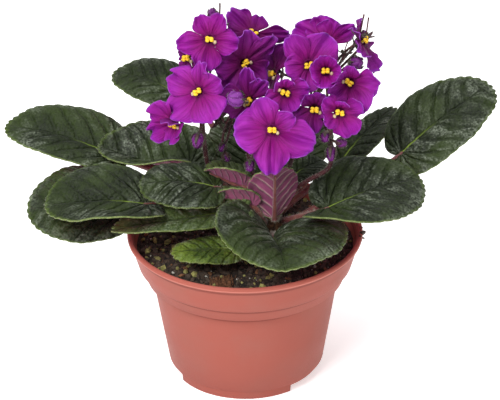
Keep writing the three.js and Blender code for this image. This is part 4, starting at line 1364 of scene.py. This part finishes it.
def petal_spot(face, roll, petal, out, across, seed):
    """A point of a petal: out runs from 0 to 1, and across from -1 to 1."""
    degrees, full_length, half_width, lift, twist = petal
    cup = math.radians(lift)
    length = full_length - THROAT_RADIUS
    lateral = across * petal_width(out) * half_width
    torn = noise.noise(Vector((across * 3.5, 0, seed + 9))) * smooth(0.6, 1, out)
    radial = (length * out * (1 + PETAL_TORN * torn)
              * (1 - PETAL_ROUNDED * out * across * across))
    height = radial * math.sin(cup) - roll * length * out * out + twist * lateral * out
    ruffle = noise.noise(Vector((across * 2.2, out * 1.3, seed))) * smooth(0.2, 1, out)
    frill = math.sin(across * 8 + seed) * smooth(0.65, 1, out)
    fold = math.exp(-(across / 0.2) ** 2) * smooth(0, 0.3, out)
    notch = math.exp(-(across / 0.14) ** 2) * smooth(0.8, 1, out)
    height += (PETAL_RUFFLE * ruffle + PETAL_FRILL * frill - PETAL_FOLD * fold) * full_length
    turn = math.radians(degrees)
    distance = THROAT_RADIUS * 0.85 + radial * (1 - PETAL_NOTCH * notch) * math.cos(cup)
    sideways = lateral * math.cos(cup * across * across / 2)
    return face.place(distance * math.cos(turn) - sideways * math.sin(turn),
                      distance * math.sin(turn) + sideways * math.cos(turn), height)


def petal_rows(face, roll, petal, seed):
    rows = []
    for r in range(PETAL_ROWS + 1):
        out = (r / PETAL_ROWS) ** 0.85
        row = []
        for c in range(PETAL_COLUMNS + 1):
            across = 2 * c / PETAL_COLUMNS - 1
            rim = max(out, abs(across) * smooth(0.3, 0.8, out))
            place = petal_spot(face, roll, petal, out, across, seed)
            row.append((place, (out, across + seed, rim)))
        rows.append(row)
    return rows


def throat_rows(face):
    turns = [2 * math.pi * i / THROAT_SIDES for i in range(THROAT_SIDES + 1)]
    return [[(face.place(radius * math.cos(turn), radius * math.sin(turn), height),
              (out, 0.0, 0.0)) for turn in turns] for radius, height, out in THROAT_RINGS]


def corolla_shape(facts, draw):
    face = Face(facts["at"], facts["faces"])
    shape = Shape()
    for petal in facts["petals"]:
        rows = petal_rows(face, facts["roll"], petal, draw.uniform(0, 50))
        shape.sheet(rows, face.ahead, PETAL_THICKNESS, PETAL_LOOKS)
    shape.sheet(throat_rows(face), face.ahead, PETAL_THICKNESS, PETAL_LOOKS)
    return shape


print("points in the rows of one petal:", (PETAL_ROWS + 1) * (PETAL_COLUMNS + 1))

# %% [markdown]
# The colour is a strong red-purple that turns bluer at the ruffled rim, with a thin line of
# painted highlight along the very rim, and dark in the throat, partly its own colour and partly
# painted shade in the hollow, with fine darker veins that fan out along each petal. One colour
# with a gradient would look like plastic, so noise that is stretched along the petal draws the
# veins, and the skin gets a very fine bump, as the real one glitters faintly. Blooms that face
# the light get a lighter, painted-lit set of colours, and the crowded ones behind, in shade, a
# darker, painted-shade set, so there are three tones. The back is a dull dark purple.

# %% Petal finishes
PURPLE_BLUE = paint(128, 46, 176)
# A thin pale line along the very rim of a petal: painted highlight.
PETAL_RIM_PAINTED_HIGHLIGHT = paint(186, 110, 204)
PURPLE_DEEP = paint(76, 4, 56)
# The colour near the throat and that of the rest, for each tone: plain, painted lit and painted
# shade.
PETAL_LIT_AND_SHADED_TONES = {
    "plain": (paint(130, 10, 104), paint(147, 26, 150)),
    # Blooms that face the light: a painted-lit copy.
    "light": (paint(134, 12, 112), paint(154, 38, 160)),
    # Crowded blooms behind, in shade: a painted-shade copy.
    "dark": (paint(106, 8, 88), paint(122, 22, 126)),
}
# The back's throat, the part near it, the rest, and the rim.
BACK_COLOURS = (paint(84, 14, 72), paint(104, 20, 88), paint(122, 34, 122), paint(108, 42, 146))


def petal_recipe(deep, inner, body, rim_colour):
    def recipe(start):
        out = start.value("out")
        fan = start.joined(start.value("across") * 9.0, out * 1.2)
        veins = start.cloud(1.0, 3, at=fan).between(0.4, 0.72)
        # Dark in the throat: partly its own colour, partly painted shade in the hollow.
        colour = out.between(-0.05, 0.25).mixed(deep, inner)
        colour = out.between(0.15, 0.75).mixed(colour, body)
        colour = (veins * 0.42 * (1 - out.between(0.55, 1.0))).mixed(colour, deep)
        rim = start.value("rim")
        colour = (rim.between(0.84, 1.0) * 0.6).mixed(colour, rim_colour)
        # Painted highlight along the very rim.
        colour = (rim.between(0.95, 1.0) * 0.4).mixed(colour, PETAL_RIM_PAINTED_HIGHLIGHT)
        patch = start.cloud(90, 2).between(0.35, 0.7)
        colour = (patch * 0.35).mixed(colour, inner)
        height = veins * 0.8 + start.cloud(1500, 2)
        return {"Base Color": colour, "Normal": start.raised(height, 0.3)}
    return recipe


petal_faces = {tone: finish("petal_face_" + tone,
                            petal_recipe(PURPLE_DEEP, inner, body, PURPLE_BLUE),
                            Roughness=0.55, Specular_IOR_Level=0.15)
               for tone, (inner, body) in PETAL_LIT_AND_SHADED_TONES.items()}
petal_back = finish("petal_back", petal_recipe(*BACK_COLOURS), Roughness=0.55,
                    Specular_IOR_Level=0.2)
print("tones of petals:", ", ".join(petal_faces))

# %% [markdown]
# Now the corollas are made. Each bloom could draw its chances from one long series, but then a
# change to the first bloom would ruffle all the others anew. With its own name as the seed, a
# bloom keeps its ruffles whatever happens to its neighbours.

# %% Corollas
bloom_faces = 0
for bloom_name, bloom_facts in BLOOMS.items():
    piece = corolla_shape(bloom_facts, random.Random(bloom_name)).made(
        "corolla_" + bloom_name, [petal_faces[bloom_facts["tone"]], petal_back],
        "bloom_" + bloom_name, "petal", ("out", "across", "rim"))
    bloom_faces += len(piece.data.polygons)
print("bloom faces:", bloom_faces)

# %% [markdown]
# Two fat yellow anthers stand side by side in the throat, each of two rounded lobes, and a thin
# pale style with a round end leans out beside them. Balls from the Add menu would do for the
# lobes, but real ones have a soft dent, so eggs with a slight pinch are used. Chance shifts
# them a little, as no two pairs look alike.

# %% Anthers and styles
ANTHER_LIFT = 2.2
ANTHERS_AT = (-1.1, 1.1)
LOBES_AT = (-0.62, 0.62)
LOBE_PINCH = 0.15
EGG_RINGS = 9
EGG_SIDES = 14
FILAMENT_RADIUS = 0.5
FILAMENT_HEIGHTS = (-1.3, 0, 1.2, 2.2)
STYLE_RADII = [0.4, 0.38, 0.36, 0.34, 0.32]
STYLE_END = (0.85, 1.0, 0.8)


def add_egg(shape, face, middle, radii, look, pinch=0.0):
    """A smooth egg in the bloom's own directions, pinched round the middle of its width."""
    rings = []
    for r in range(EGG_RINGS):
        tilt = math.pi * (r + 0.25) / (EGG_RINGS - 0.5) - math.pi / 2
        ring = []
        for i in range(EGG_SIDES):
            turn = 2 * math.pi * i / EGG_SIDES
            waist = 1 - pinch * math.exp(-(math.cos(turn) / 0.3) ** 2)
            x = radii[0] * math.cos(tilt) * math.cos(turn)
            y = radii[1] * math.cos(tilt) * math.sin(turn) * waist
            z = radii[2] * math.sin(tilt) * (1 - pinch * math.exp(-(x / 0.35) ** 2))
            ring.append(shape.point(face.place(middle[0] + x, middle[1] + y, middle[2] + z)))
        rings.append(ring)
    shape.barrel(rings, look)


def anther_shape(facts, draw):
    face = Face(facts["at"], facts["faces"], facts["turn"])
    shape = Shape()
    slope = draw.uniform(-0.6, 0.6)
    for x in ANTHERS_AT:
        for lobe in LOBES_AT:
            middle = (x + draw.uniform(-0.2, 0.2) - slope * lobe * 0.6,
                      slope * x + lobe + draw.uniform(-0.2, 0.2),
                      ANTHER_LIFT + draw.uniform(-0.3, 0.3))
            radii = (draw.uniform(0.95, 1.3), draw.uniform(0.8, 1.05), draw.uniform(0.9, 1.1))
            add_egg(shape, face, middle, radii, 0, LOBE_PINCH)
    filament = [face.place(0.1 * z, 0, z) for z in FILAMENT_HEIGHTS]
    shape.tube(filament, [FILAMENT_RADIUS] * len(filament), 6, 0)
    lean = draw.choice((-1, 1))
    style = [face.place(lean * (0.2 + 0.6 * t), -0.5 - 0.2 * t, -1.2 + 0.6 * t)
             for t in range(len(STYLE_RADII))]
    shape.tube(style, STYLE_RADII, 6, 1)
    add_egg(shape, face, (lean * 2.9, -1.2, 1.5), STYLE_END, 1)
    return shape


def anther_recipe(start):
    dust = start.cloud(1300, 3).between(0.3, 0.7)
    return {"Base Color": dust.mixed(paint(244, 178, 16), paint(255, 224, 62)),
            "Normal": start.raised(dust, 0.2)}


def style_recipe(start):
    return {"Base Color": start.cloud(400).mixed(paint(176, 132, 130), paint(214, 204, 142))}


anther_yellow = finish("anther_yellow", anther_recipe, Roughness=0.6)
style_pale = finish("style_pale", style_recipe, Roughness=0.5)
for bloom_name, bloom_facts in BLOOMS.items():
    anther_shape(bloom_facts, random.Random(bloom_name)).made(
        "stamens_" + bloom_name, [anther_yellow, style_pale], "anthers_" + bloom_name,
        "anther")
print("pairs of anthers:", len(BLOOMS))

# %% [markdown]
# ## Flower clusters
# A cluster is one dark red stalk from the crown that forks into a thin stalk for every bloom
# and bud. Some branches end in a bare calyx: its bloom has fallen and left the thin style. The
# branches could be drawn as curves by hand, but a row for each end is enough, because the path
# to it from the fork can be worked out. A row gives where the end is, which way it points, its
# radius and its length. A cluster's row gives its root on the crown, the points that its stalk
# passes, and the names of what it carries.

# %% Cluster rows
def branch_end(at, points, radius, length):
    return {"at": Vector(at), "faces": points, "radius": radius, "length": length}


BUDS = {
    "bud_big": branch_end((-4, -4, 155), (212, 34), 4.3, 9),
    "bud_hooked": branch_end((-23, 1, 129), (250, -50), 3.4, 8),
    "bud_top": branch_end((-14.8, 28, 186.5), (250, 60), 2.5, 7.5),
    "bud_dark": branch_end((56.8, 16, 164), (300, 30), 3.7, 8),
    "bud_right_a": branch_end((40.5, -3, 132), (265, -10), 2.5, 6),
    "bud_right_b": branch_end((49, -3, 129), (320, 10), 2.5, 6),
    "bud_right_c": branch_end((43.5, -4, 123.5), (265, -50), 2.6, 8),
    "bud_front": branch_end((3, -6, 118), (262, -20), 2.8, 6.5),
    "bud_small_a": branch_end((-11, 14, 118), (240, -20), 2, 5),
    "bud_small_b": branch_end((-9, 13, 113), (300, -40), 2, 5),
}
# Calyxes that have dropped their bloom. Radius and length are those of the style they kept.
SPENT = {
    "spent_top": branch_end((-11.2, 27, 184.5), (100, 84), 0.45, 12),
    "spent_mid": branch_end((52, 24, 170), (60, 60), 0.3, 6),
    "spent_low_a": branch_end((-22, 6, 141), (255, 15), 0.3, 7),
    "spent_low_b": branch_end((-11, 15, 134), (290, 5), 0.3, 7),
    "spent_low_c": branch_end((-15, 15, 130), (240, -10), 0.3, 6),
    "spent_low_d": branch_end((-7, 16, 129), (270, 10), 0.3, 6),
    "spent_right_a": branch_end((59.5, 27, 178), (350, 80), 0.4, 12),
    "spent_right_b": branch_end((62.5, 28, 177), (10, 84), 0.4, 10.5),
}


def cluster(root, points, carries):
    return {"root": root, "points": [Vector(point) for point in points], "carries": carries}


CLUSTERS = {
    "cluster_left": cluster(
        (168, 90.5), [(-6, 11, 98), (-17, 13.5, 106), (-20, 11, 122), (-21, 12, 140)],
        ("top_left", "top_left_rear", "left", "left_side", "bud_hooked", "bud_top",
         "spent_top", "spent_low_a", "spent_low_b")),
    "cluster_middle": cluster(
        (140, 90.5), [(3, 17, 108), (1, 18, 128), (1, 19, 140)],
        ("upper_middle", "top_rear", "middle", "bud_big", "bud_small_a", "bud_small_b",
         "spent_low_c", "spent_low_d")),
    "cluster_front": cluster(
        (300, 90), [(14.5, 1.5, 103), (10, 2, 115), (12, 3, 126)],
        ("front", "front_right", "bud_front")),
    "cluster_right": cluster(
        (345, 90.5), [(30, 3, 103), (43, 2, 113), (43, 3, 128)],
        ("right_low", "right_inner", "right", "right_cup", "bud_right_a", "bud_right_b",
         "bud_right_c")),
    "cluster_rear": cluster(
        (45, 90.5), [(25, 22, 108), (33, 28, 126), (35, 30, 134)],
        ("upper_right", "top_right_rear", "far_right", "middle_side", "bud_dark",
         "spent_mid", "spent_right_a", "spent_right_b")),
}
print(len(CLUSTERS), "clusters with", len(BUDS), "buds and", len(SPENT), "bare calyxes")

# %% [markdown]
# A calyx is a small cup, and five narrow sepals grow from it. Behind an open bloom they
# spread, and on a bud they hug its sides. A bud is the bloom's petals folded into an egg, with
# soft ridges that wind round it. Petals could be wrapped round each other, but at a few
# millimetres the ridges say the same. A bud that is about to open is large and paler, and has
# grown out of its sepals.

# %% Calyx and bud shapes
CLUSTER_LOOKS = {"stalk": 0, "sepal": 1, "bud": 2, "hair": 3}
CALYX_LENGTH = 2.6
SEPALS = 5
SEPAL_ROWS = 6
SEPAL_HALF_WIDTH = 0.95
SEPAL_THICKNESS = 0.35
SEPAL_REACH = 4
SEPAL_HAIRS = 16
# How far up a bud its sepals reach: this share of its length past the middle.
SEPAL_HUG = 0.3
SEPAL_HUG_RIPE = -0.1
BUD_RINGS = 13
BUD_SIDES = 20
BUD_RIDGES = 5
BUD_WIND = 3.4
BUD_HAIRS = 80
SHORT_HAIR_WIDTH = 0.04


def bud_plump(along):
    """How wide a bud is, as a share of its radius, from -1 at its foot to 1 at its tip."""
    return max(1 - along * along, 0) ** 0.425 * (1 - 0.12 * along)


def ripeness(radius):
    """From 0 for a young bud to 1 for one that is about to open."""
    return smooth(3.8, 4.2, radius)


def sepal_reach(back, bud_size, t):
    """How far from the axis and how high a sepal is at a share t of its length."""
    foot = back - CALYX_LENGTH * 0.5
    if bud_size is None:
        return SEPAL_REACH * (1 - (1 - t) ** 1.6), foot + 1.9 * t ** 1.4
    radius, length = bud_size
    reach = lerp(SEPAL_HUG, SEPAL_HUG_RIPE, ripeness(radius))
    height = lerp(foot, length * reach, t)
    along = max(height / (length / 2), -1)
    return max(radius * bud_plump(along) * 1.05 - 0.2, 0), height


def add_calyx(shape, face, back, draw, bud_size=None):
    """Five narrow sepals round the stalk's end: they spread, or they hug a bud of that size."""
    look = CLUSTER_LOOKS["sepal"]
    for i in range(SEPALS):
        turn = math.radians(360 / SEPALS * i + 18 + draw.uniform(-6, 6))
        rows = []
        for r in range(SEPAL_ROWS + 1):
            t = r / SEPAL_ROWS
            wide = SEPAL_HALF_WIDTH * math.sin(math.pi * min(0.25 + 0.75 * t, 0.97)) ** 0.8
            spread, height = sepal_reach(back, bud_size, t)
            row = []
            for c in (-1, -0.5, 0, 0.5, 1):
                side = c * wide
                keel = 0.3 * abs(c) * (1 - t)
                row.append((face.place(
                    (0.5 + spread) * math.cos(turn) - side * math.sin(turn),
                    (0.5 + spread) * math.sin(turn) + side * math.cos(turn),
                    height + keel), NO_VALUES))
            rows.append(row)
        shape.sheet(rows, face.ahead, SEPAL_THICKNESS, (look, look, look))
        for _ in range(SEPAL_HAIRS):
            row = draw.choice(rows[1:])
            root = row[draw.randrange(len(row))][0]
            lean = Vector([draw.uniform(-1, 1) for _ in range(3)])
            shape.hair(root, root + lean.normalized() * 0.9, CLUSTER_LOOKS["hair"],
                       SHORT_HAIR_WIDTH)


def add_bud(shape, face, radius, length, draw):
    """Folded petals: an egg with soft ridges that wind round it."""
    pale = ripeness(radius)
    rings = []
    for r in range(BUD_RINGS):
        along = -math.cos(math.pi * (r + 0.3) / (BUD_RINGS - 0.4))
        ring = []
        for i in range(BUD_SIDES):
            turn = 2 * math.pi * i / BUD_SIDES
            fold = math.cos(BUD_RIDGES * turn + BUD_WIND * along)
            wide = radius * bud_plump(along) * (0.95 + 0.1 * fold)
            ring.append(shape.point(face.place(wide * math.cos(turn), wide * math.sin(turn),
                                               along * length / 2), (fold, pale, 0)))
        rings.append(ring)
    shape.barrel(rings, CLUSTER_LOOKS["bud"])
    for _ in range(BUD_HAIRS):
        turn, along = draw.uniform(0, 6.28), draw.uniform(-0.8, 0.95)
        wide = math.sqrt(max(1 - along * along, 0.02)) * radius
        root = face.place(wide * math.cos(turn), wide * math.sin(turn), along * length / 2)
        out = (root - face.middle).normalized()
        shape.hair(root, root + out * draw.uniform(0.5, 1.0), CLUSTER_LOOKS["hair"],
                   SHORT_HAIR_WIDTH)


print("a bud's width at its foot, middle and tip:",
      [round(bud_plump(along), 2) for along in (-0.9, 0, 0.9)])

# %% [markdown]
# The stalk passes smoothly through its points. A curve that is merely pulled towards them would
# miss them, and a plain one through them would swing out where two are close, so the spline
# here takes the length of each stretch into account. The branches leave the stalk's end
# upwards and arrive from behind what they carry.

# %% Cluster shape
PEDUNCLE_RADIUS = 1.25
PEDUNCLE_TAPER = 0.92
PEDUNCLE_STEPS = 9
PEDUNCLE_HAIRS = 420
PEDICEL_RADIUS = 0.675
PEDICEL_STEPS = 16
PEDICEL_HAIRS_A_MM = 9
BUD_SEAT = 1.2
CALYX_SEAT = 0.85
PEDICEL_SEAT = 0.8
# The calyx cup behind the sepals: heights over its foot, and radii.
CUP_HEIGHTS = (0.3, 0.9, 1.6, 2.2)
CUP_RADII = [0.75, 1.25, 1.4, 1.1]
STYLE_TIP_RADIUS = 0.5


def spline(points, steps):
    """A curve through the points that doesn't overshoot where they are close together."""
    ends = [points[0] * 2 - points[1], *points, points[-1] * 2 - points[-2]]
    path = [points[0]]
    for p0, p1, p2, p3 in zip(ends, ends[1:], ends[2:], ends[3:]):
        d0, d1, d2 = ((b - a).length ** 0.5 for a, b in ((p0, p1), (p1, p2), (p2, p3)))
        leave = ((p1 - p0) / d0 - (p2 - p0) / (d0 + d1) + (p2 - p1) / d1) * d1
        arrive = ((p2 - p1) / d1 - (p3 - p1) / (d1 + d2) + (p3 - p2) / d2) * d1
        for i in range(1, steps + 1):
            t = i / steps
            path.append(p1 * (2 * t ** 3 - 3 * t * t + 1) + p2 * (3 * t * t - 2 * t ** 3)
                        + leave * (t ** 3 - 2 * t * t + t) + arrive * (t ** 3 - t * t))
    return path


def pedicel_path(fork, end, ahead):
    """From the fork, upwards at first, to the end, where it arrives from behind."""
    reach = (end - fork).length
    lean = (end - fork).normalized()
    start = fork + lean * 0.3
    rise = (lean + UP).normalized()
    return bezier_path(start, start + rise * reach * 0.35, end - ahead * min(reach * 0.35, 7),
                       end, PEDICEL_STEPS), reach


def add_branch(shape, fork, name, draw):
    facts = BUDS.get(name) or SPENT.get(name) or BLOOMS[name]
    face = Face(facts["at"], facts["faces"], facts.get("turn", 0))
    closed = name in BUDS
    back = BUD_SEAT - facts["length"] / 2 if closed else -THROAT_DEPTH - CALYX_SEAT
    foot = back - CALYX_LENGTH
    path, reach = pedicel_path(fork, face.place(0, 0, foot + PEDICEL_SEAT), face.ahead)
    bark = shape.tube(path, [PEDICEL_RADIUS] * len(path), 8, CLUSTER_LOOKS["stalk"])
    shape.hairs(bark, round(PEDICEL_HAIRS_A_MM * reach), 1.2, CLUSTER_LOOKS["hair"], draw)
    cup = [face.place(0, 0, foot + height) for height in CUP_HEIGHTS]
    shape.tube(cup, CUP_RADII, 10, CLUSTER_LOOKS["sepal"])
    bud_size = (facts["radius"] * 0.95, facts["length"]) if closed else None
    add_calyx(shape, face, back, draw, bud_size)
    if closed:
        add_bud(shape, face, *bud_size, draw)
    if name in SPENT:
        style = [face.place(0.2 * math.sin(t), 0, back - 1 + facts["length"] * t / 5)
                 for t in range(6)]
        shape.tube(style, [facts["radius"]] * 5 + [STYLE_TIP_RADIUS], 6,
                   CLUSTER_LOOKS["stalk"])


def cluster_shape(facts, draw):
    shape = Shape()
    foot = seat_on_crown(facts["root"], PEDUNCLE_RADIUS)
    path = spline([foot, *facts["points"]], PEDUNCLE_STEPS)
    radii = [PEDUNCLE_RADIUS * lerp(1.0, PEDUNCLE_TAPER, i / (len(path) - 1))
             for i in range(len(path))]
    bark = shape.tube(path, radii, 10, CLUSTER_LOOKS["stalk"])
    shape.hairs(bark, PEDUNCLE_HAIRS, 1.6, CLUSTER_LOOKS["hair"], draw)
    fork = path[-1] + (path[-2] - path[-1]).normalized() * 0.8
    for name in facts["carries"]:
        add_branch(shape, fork, name, draw)
    return shape


print("branches in all:", sum(len(row["carries"]) for row in CLUSTERS.values()))

# %% [markdown]
# The stalks are dark red, and the sepals red-brown with a little green. One brown for both
# would do from afar, but close up it is the streaks that look alive. The buds are a dusky
# purple, with painted shade in the creases between their ridges, which each point of a bud
# knows.

# %% Clusters
def sepal_recipe(start):
    streak = start.cloud(300, 3).between(0.35, 0.65)
    return {"Base Color": streak.mixed(paint(62, 18, 30), paint(56, 52, 34)),
            "Normal": start.raised(start.cloud(1500), 0.2)}


def bud_recipe(start):
    patch = start.cloud(220, 3).between(0.3, 0.7)
    colour = patch.mixed(paint(74, 16, 76), paint(122, 44, 130))
    colour = start.value("pale").mixed(colour, paint(132, 60, 150))
    # Painted shade in the creases between the bud's ridges.
    crease_painted_shade = 1 - start.value("fold").between(-1.0, -0.1)
    return {"Base Color": (crease_painted_shade * 0.8).mixed(colour, paint(66, 12, 72)),
            "Normal": start.raised(start.cloud(900, 3), 0.3)}


cluster_finishes = [
    finish("flower_stalk", stalk_recipe(paint(60, 12, 26), paint(88, 34, 38)), Roughness=0.5,
           Sheen_Weight=0.1),
    finish("sepal_red_green", sepal_recipe, Roughness=0.6, Sheen_Weight=0.1),
    finish("bud_purple", bud_recipe, Roughness=0.5, Specular_IOR_Level=0.2),
    pale_hair]
cluster_faces = 0
for cluster_name, cluster_facts in CLUSTERS.items():
    piece = cluster_shape(cluster_facts, random.Random(cluster_name)).made(
        cluster_name + "_hairy", cluster_finishes, cluster_name, "stalk", ("fold", "pale"))
    cluster_faces += len(piece.data.polygons)
print("cluster faces:", cluster_faces)

dressed_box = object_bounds()
for side_name, cad_corner, own_corner in zip(("low", "high"), cad_box, dressed_box):
    print(side_name, "corner moved by, mm:",
          [round(1000 * (b - a), 1) for a, b in zip(cad_corner, own_corner)])
